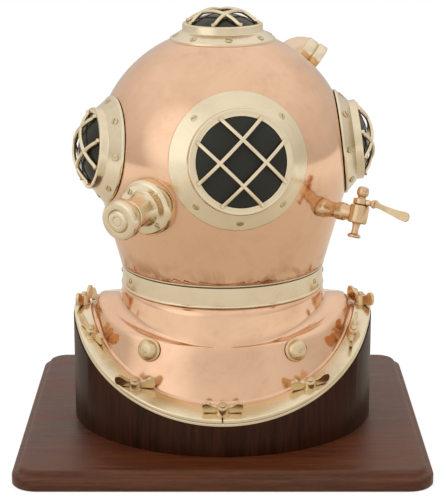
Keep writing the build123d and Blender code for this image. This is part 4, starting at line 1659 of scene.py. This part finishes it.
@dataclass
class SafetyCatch:
    """The catch at the back of the neck, and the finish of its bracket and its keeper."""

    pivot: float = 180.5
    plane: float = 121.0
    thickness: float = 3.0
    width: float = 8.0
    reach: float = 22.0
    hole: float = 2.6

    def build(self) -> None:
        """Makes the catch, and gives the bracket and keeper their finish."""
        face = Seat(Vector((0, self.plane, self.pivot)), Vector((1, 0, 0)), Vector((0, 0, -1)),
                    Vector((0, 1, 0)))
        half = self.width / 2
        ring = []
        for start, middle in ((math.pi, 0.0), (0.0, self.reach)):
            for step in range(13):
                angle = start + math.pi * step / 12
                ring.append((half * math.cos(angle), middle + half * math.sin(angle)))
        hole = circle(self.hole, len(ring), math.pi)
        rows = [[face.at(x, y, out) for x, y in loop] for loop, out in
                ((ring, 0.0), (ring, self.thickness), (hole, self.thickness), (hole, 0.0))]
        Form().rows(rows, closed=True).finish(
            "filed_safety_catch", Body.CATCH, CAST_BRASS, ["safety_catch"], 0.5)
        for name in ("catch_bracket", "catch_keeper"):
            dress(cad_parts[name], CAST_BRASS)


def dress(node: bpy.types.Object, finish: Finish) -> None:
    """Gives a CAD node's own slots a finish.

    Args:
        node: the node.
        finish: the finish.
    """
    for slot in node.material_slots:
        slot.material = material(finish)


@dataclass(frozen=True)
class Lamp:
    """A soft box that looks at the helmet's middle and that the metal doesn't mirror.

    Args:
        name: its name.
        place: where it hangs, in metres.
        size: its sides in metres.
        power: its power in watts.
    """

    name: str
    place: tuple[float, float, float]
    size: Pair
    power: float

    def hang(self) -> None:
        """Makes the lamp."""
        light = bpy.data.lights.new(self.name, "AREA")
        light.shape = "RECTANGLE"
        light.size, light.size_y = self.size
        light.energy = self.power
        lamp = placed(self.name, light)
        lamp.location = self.place
        lamp.visible_glossy = False
        aim = Vector((0, 0, 0.25)) - Vector(self.place)
        lamp.rotation_euler = aim.to_track_quat("-Z", "Y").to_euler()


@dataclass
class Studio:
    """Floor, light and camera."""

    camera_place: tuple[float, float, float] = (-0.0022, -1.83519, 0.69096)
    camera_pitch: float = 0.2587
    lens: float = 122.63
    floor_half: float = 4.0
    fade: tuple[float, float, float, float] = (0.3, 0.9, 0.72, 1.0)
    matt_floor: Colour = shade(0.9, 0.9, 0.89)
    # Painted shade in reflections: the floor's glow near the helmet.
    shaded_near_floor: Colour = shade(0.60, 0.535, 0.44)
    far_floor: Colour = shade(0.92, 0.90, 0.86)
    white: Colour = shade(1.0, 1.0, 1.0)
    wall: tuple[Colour, Colour] = (shade(0.56, 0.53, 0.49), shade(0.90, 0.89, 0.87))
    front: Colour = shade(0.80, 0.79, 0.76)
    window: Colour = shade(1.15, 1.14, 1.12)
    window_way: tuple[float, float, float] = (-0.70, 0.62, 0.35)
    fall: tuple[Colour, Colour] = (shade(0.30, 0.29, 0.28), shade(1.1, 1.09, 1.07))
    lamps: tuple[Lamp, ...] = (Lamp("key", (-1.3, -1.1, 1.6), (1.2, 1.2), 22),
                               Lamp("fill", (1.5, -1.0, 1.1), (1.0, 1.4), 12),
                               Lamp("crown", (0.1, 0.5, 1.9), (1.4, 1.0), 14))

    def floor(self) -> None:
        """A plain pale floor that the camera sees as near white; the metal mirrors it as a glow
        with painted shade, darker brown near the helmet.
        """
        half = self.floor_half
        data = bpy.data.meshes.new("floor")
        edge = [(-half, -half, 0), (half, -half, 0), (half, half, 0), (-half, half, 0)]
        data.from_pydata(edge, [], [(0, 1, 2, 3)])
        made, tree = blank_material("pale_floor")
        spot = tree.add("ShaderNodeTexCoord", output="Object")
        away = tree.add("ShaderNodeVectorMath", {"operation": "LENGTH"}, {0: spot}, "Value")
        matt = tree.add("ShaderNodeBsdfDiffuse", None, {"Color": self.matt_floor})
        clear = tree.ray("Camera") * away.span(*self.fade)
        plain = tree.shaders(clear, matt, tree.glow(self.white))
        # Painted shade, seen only in reflections: the floor glows darker brown near the helmet and
        # pale further out.
        mirrored = tree.shaders(away.span(0.2, 1.5), tree.glow(self.shaded_near_floor),
                                tree.glow(self.far_floor))
        mix = tree.shaders(tree.ray("Glossy"), plain, mirrored)
        tree.add("ShaderNodeOutputMaterial", None, {"Surface": mix})
        data.materials.append(made)
        placed("floor", data)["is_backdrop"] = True

    def sky(self) -> None:
        """Plain white for the camera, a pale room in the metal, and light that falls from above."""
        world = bpy.data.worlds.new("studio")
        bpy.context.scene.world = world
        world.use_nodes = True
        tree = Tree(world.node_tree)
        way = tree.add("ShaderNodeTexCoord", output="Generated")
        parts = tree.add("ShaderNodeSeparateXYZ", None, {0: way}).socket.node.outputs
        side, ahead, height = (Wire(tree, parts[name]) for name in "XYZ")
        room = tree.colours(height.span(-0.1, 0.7), *self.wall)
        front = (0.0 - ahead).span(0.35, 0.95) * (1.0 - height.span(0.3, 0.8))
        room = tree.colours(front, room, self.front)
        left, near, up = self.window_way
        window = (side * left - ahead * near + height * up).span(0.84, 0.97)
        room = tree.colours(window, room, self.window)
        above = tree.colours(height.span(-0.1, 0.9), *self.fall)
        colour = tree.colours(tree.ray("Camera"), tree.colours(tree.ray("Glossy"), above, room),
                              self.white)
        sky = tree.add("ShaderNodeBackground", None, {"Color": colour, "Strength": 1.0})
        tree.add("ShaderNodeOutputWorld", None, {"Surface": sky})

    def camera(self) -> None:
        """The camera at the photograph's place."""
        data = bpy.data.cameras.new("camera")
        data.lens = self.lens
        data.sensor_width = 36
        camera = placed("camera", data)
        camera.location = self.camera_place
        camera.rotation_euler = Euler((math.pi / 2 - self.camera_pitch, 0, 0))
        bpy.context.scene.camera = camera

    def build(self) -> None:
        """Makes the whole studio."""
        self.camera()
        self.floor()
        self.sky()
        for lamp in self.lamps:
            lamp.hang()


def corners(box: tuple[Vector, Vector]) -> list[list[float]]:
    """A box as plain lists."""
    return [list(map(float, corner)) for corner in box]


def main() -> None:
    """Builds everything over the loaded frame."""
    logging.basicConfig(level=logging.INFO)
    bpy.context.scene.view_settings.view_transform = "Standard"
    cad_box = corners(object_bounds())
    for part in (Studio(), Stand(), Corselet(), WingNuts(), NeckJoint(), Bonnet(), Exhaust(),
                 Spitcock(), Elbow(), HarnessButtons(), SafetyCatch()):
        log.info("building %s", type(part).__name__)
        part.build()
    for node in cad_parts.values():
        if not node.hide_render and not any(slot.material for slot in node.material_slots):
            dress(node, BRASS)
    {"cad": cad_box, "visual": corners(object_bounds())}


if __name__ == "__main__":
    main()
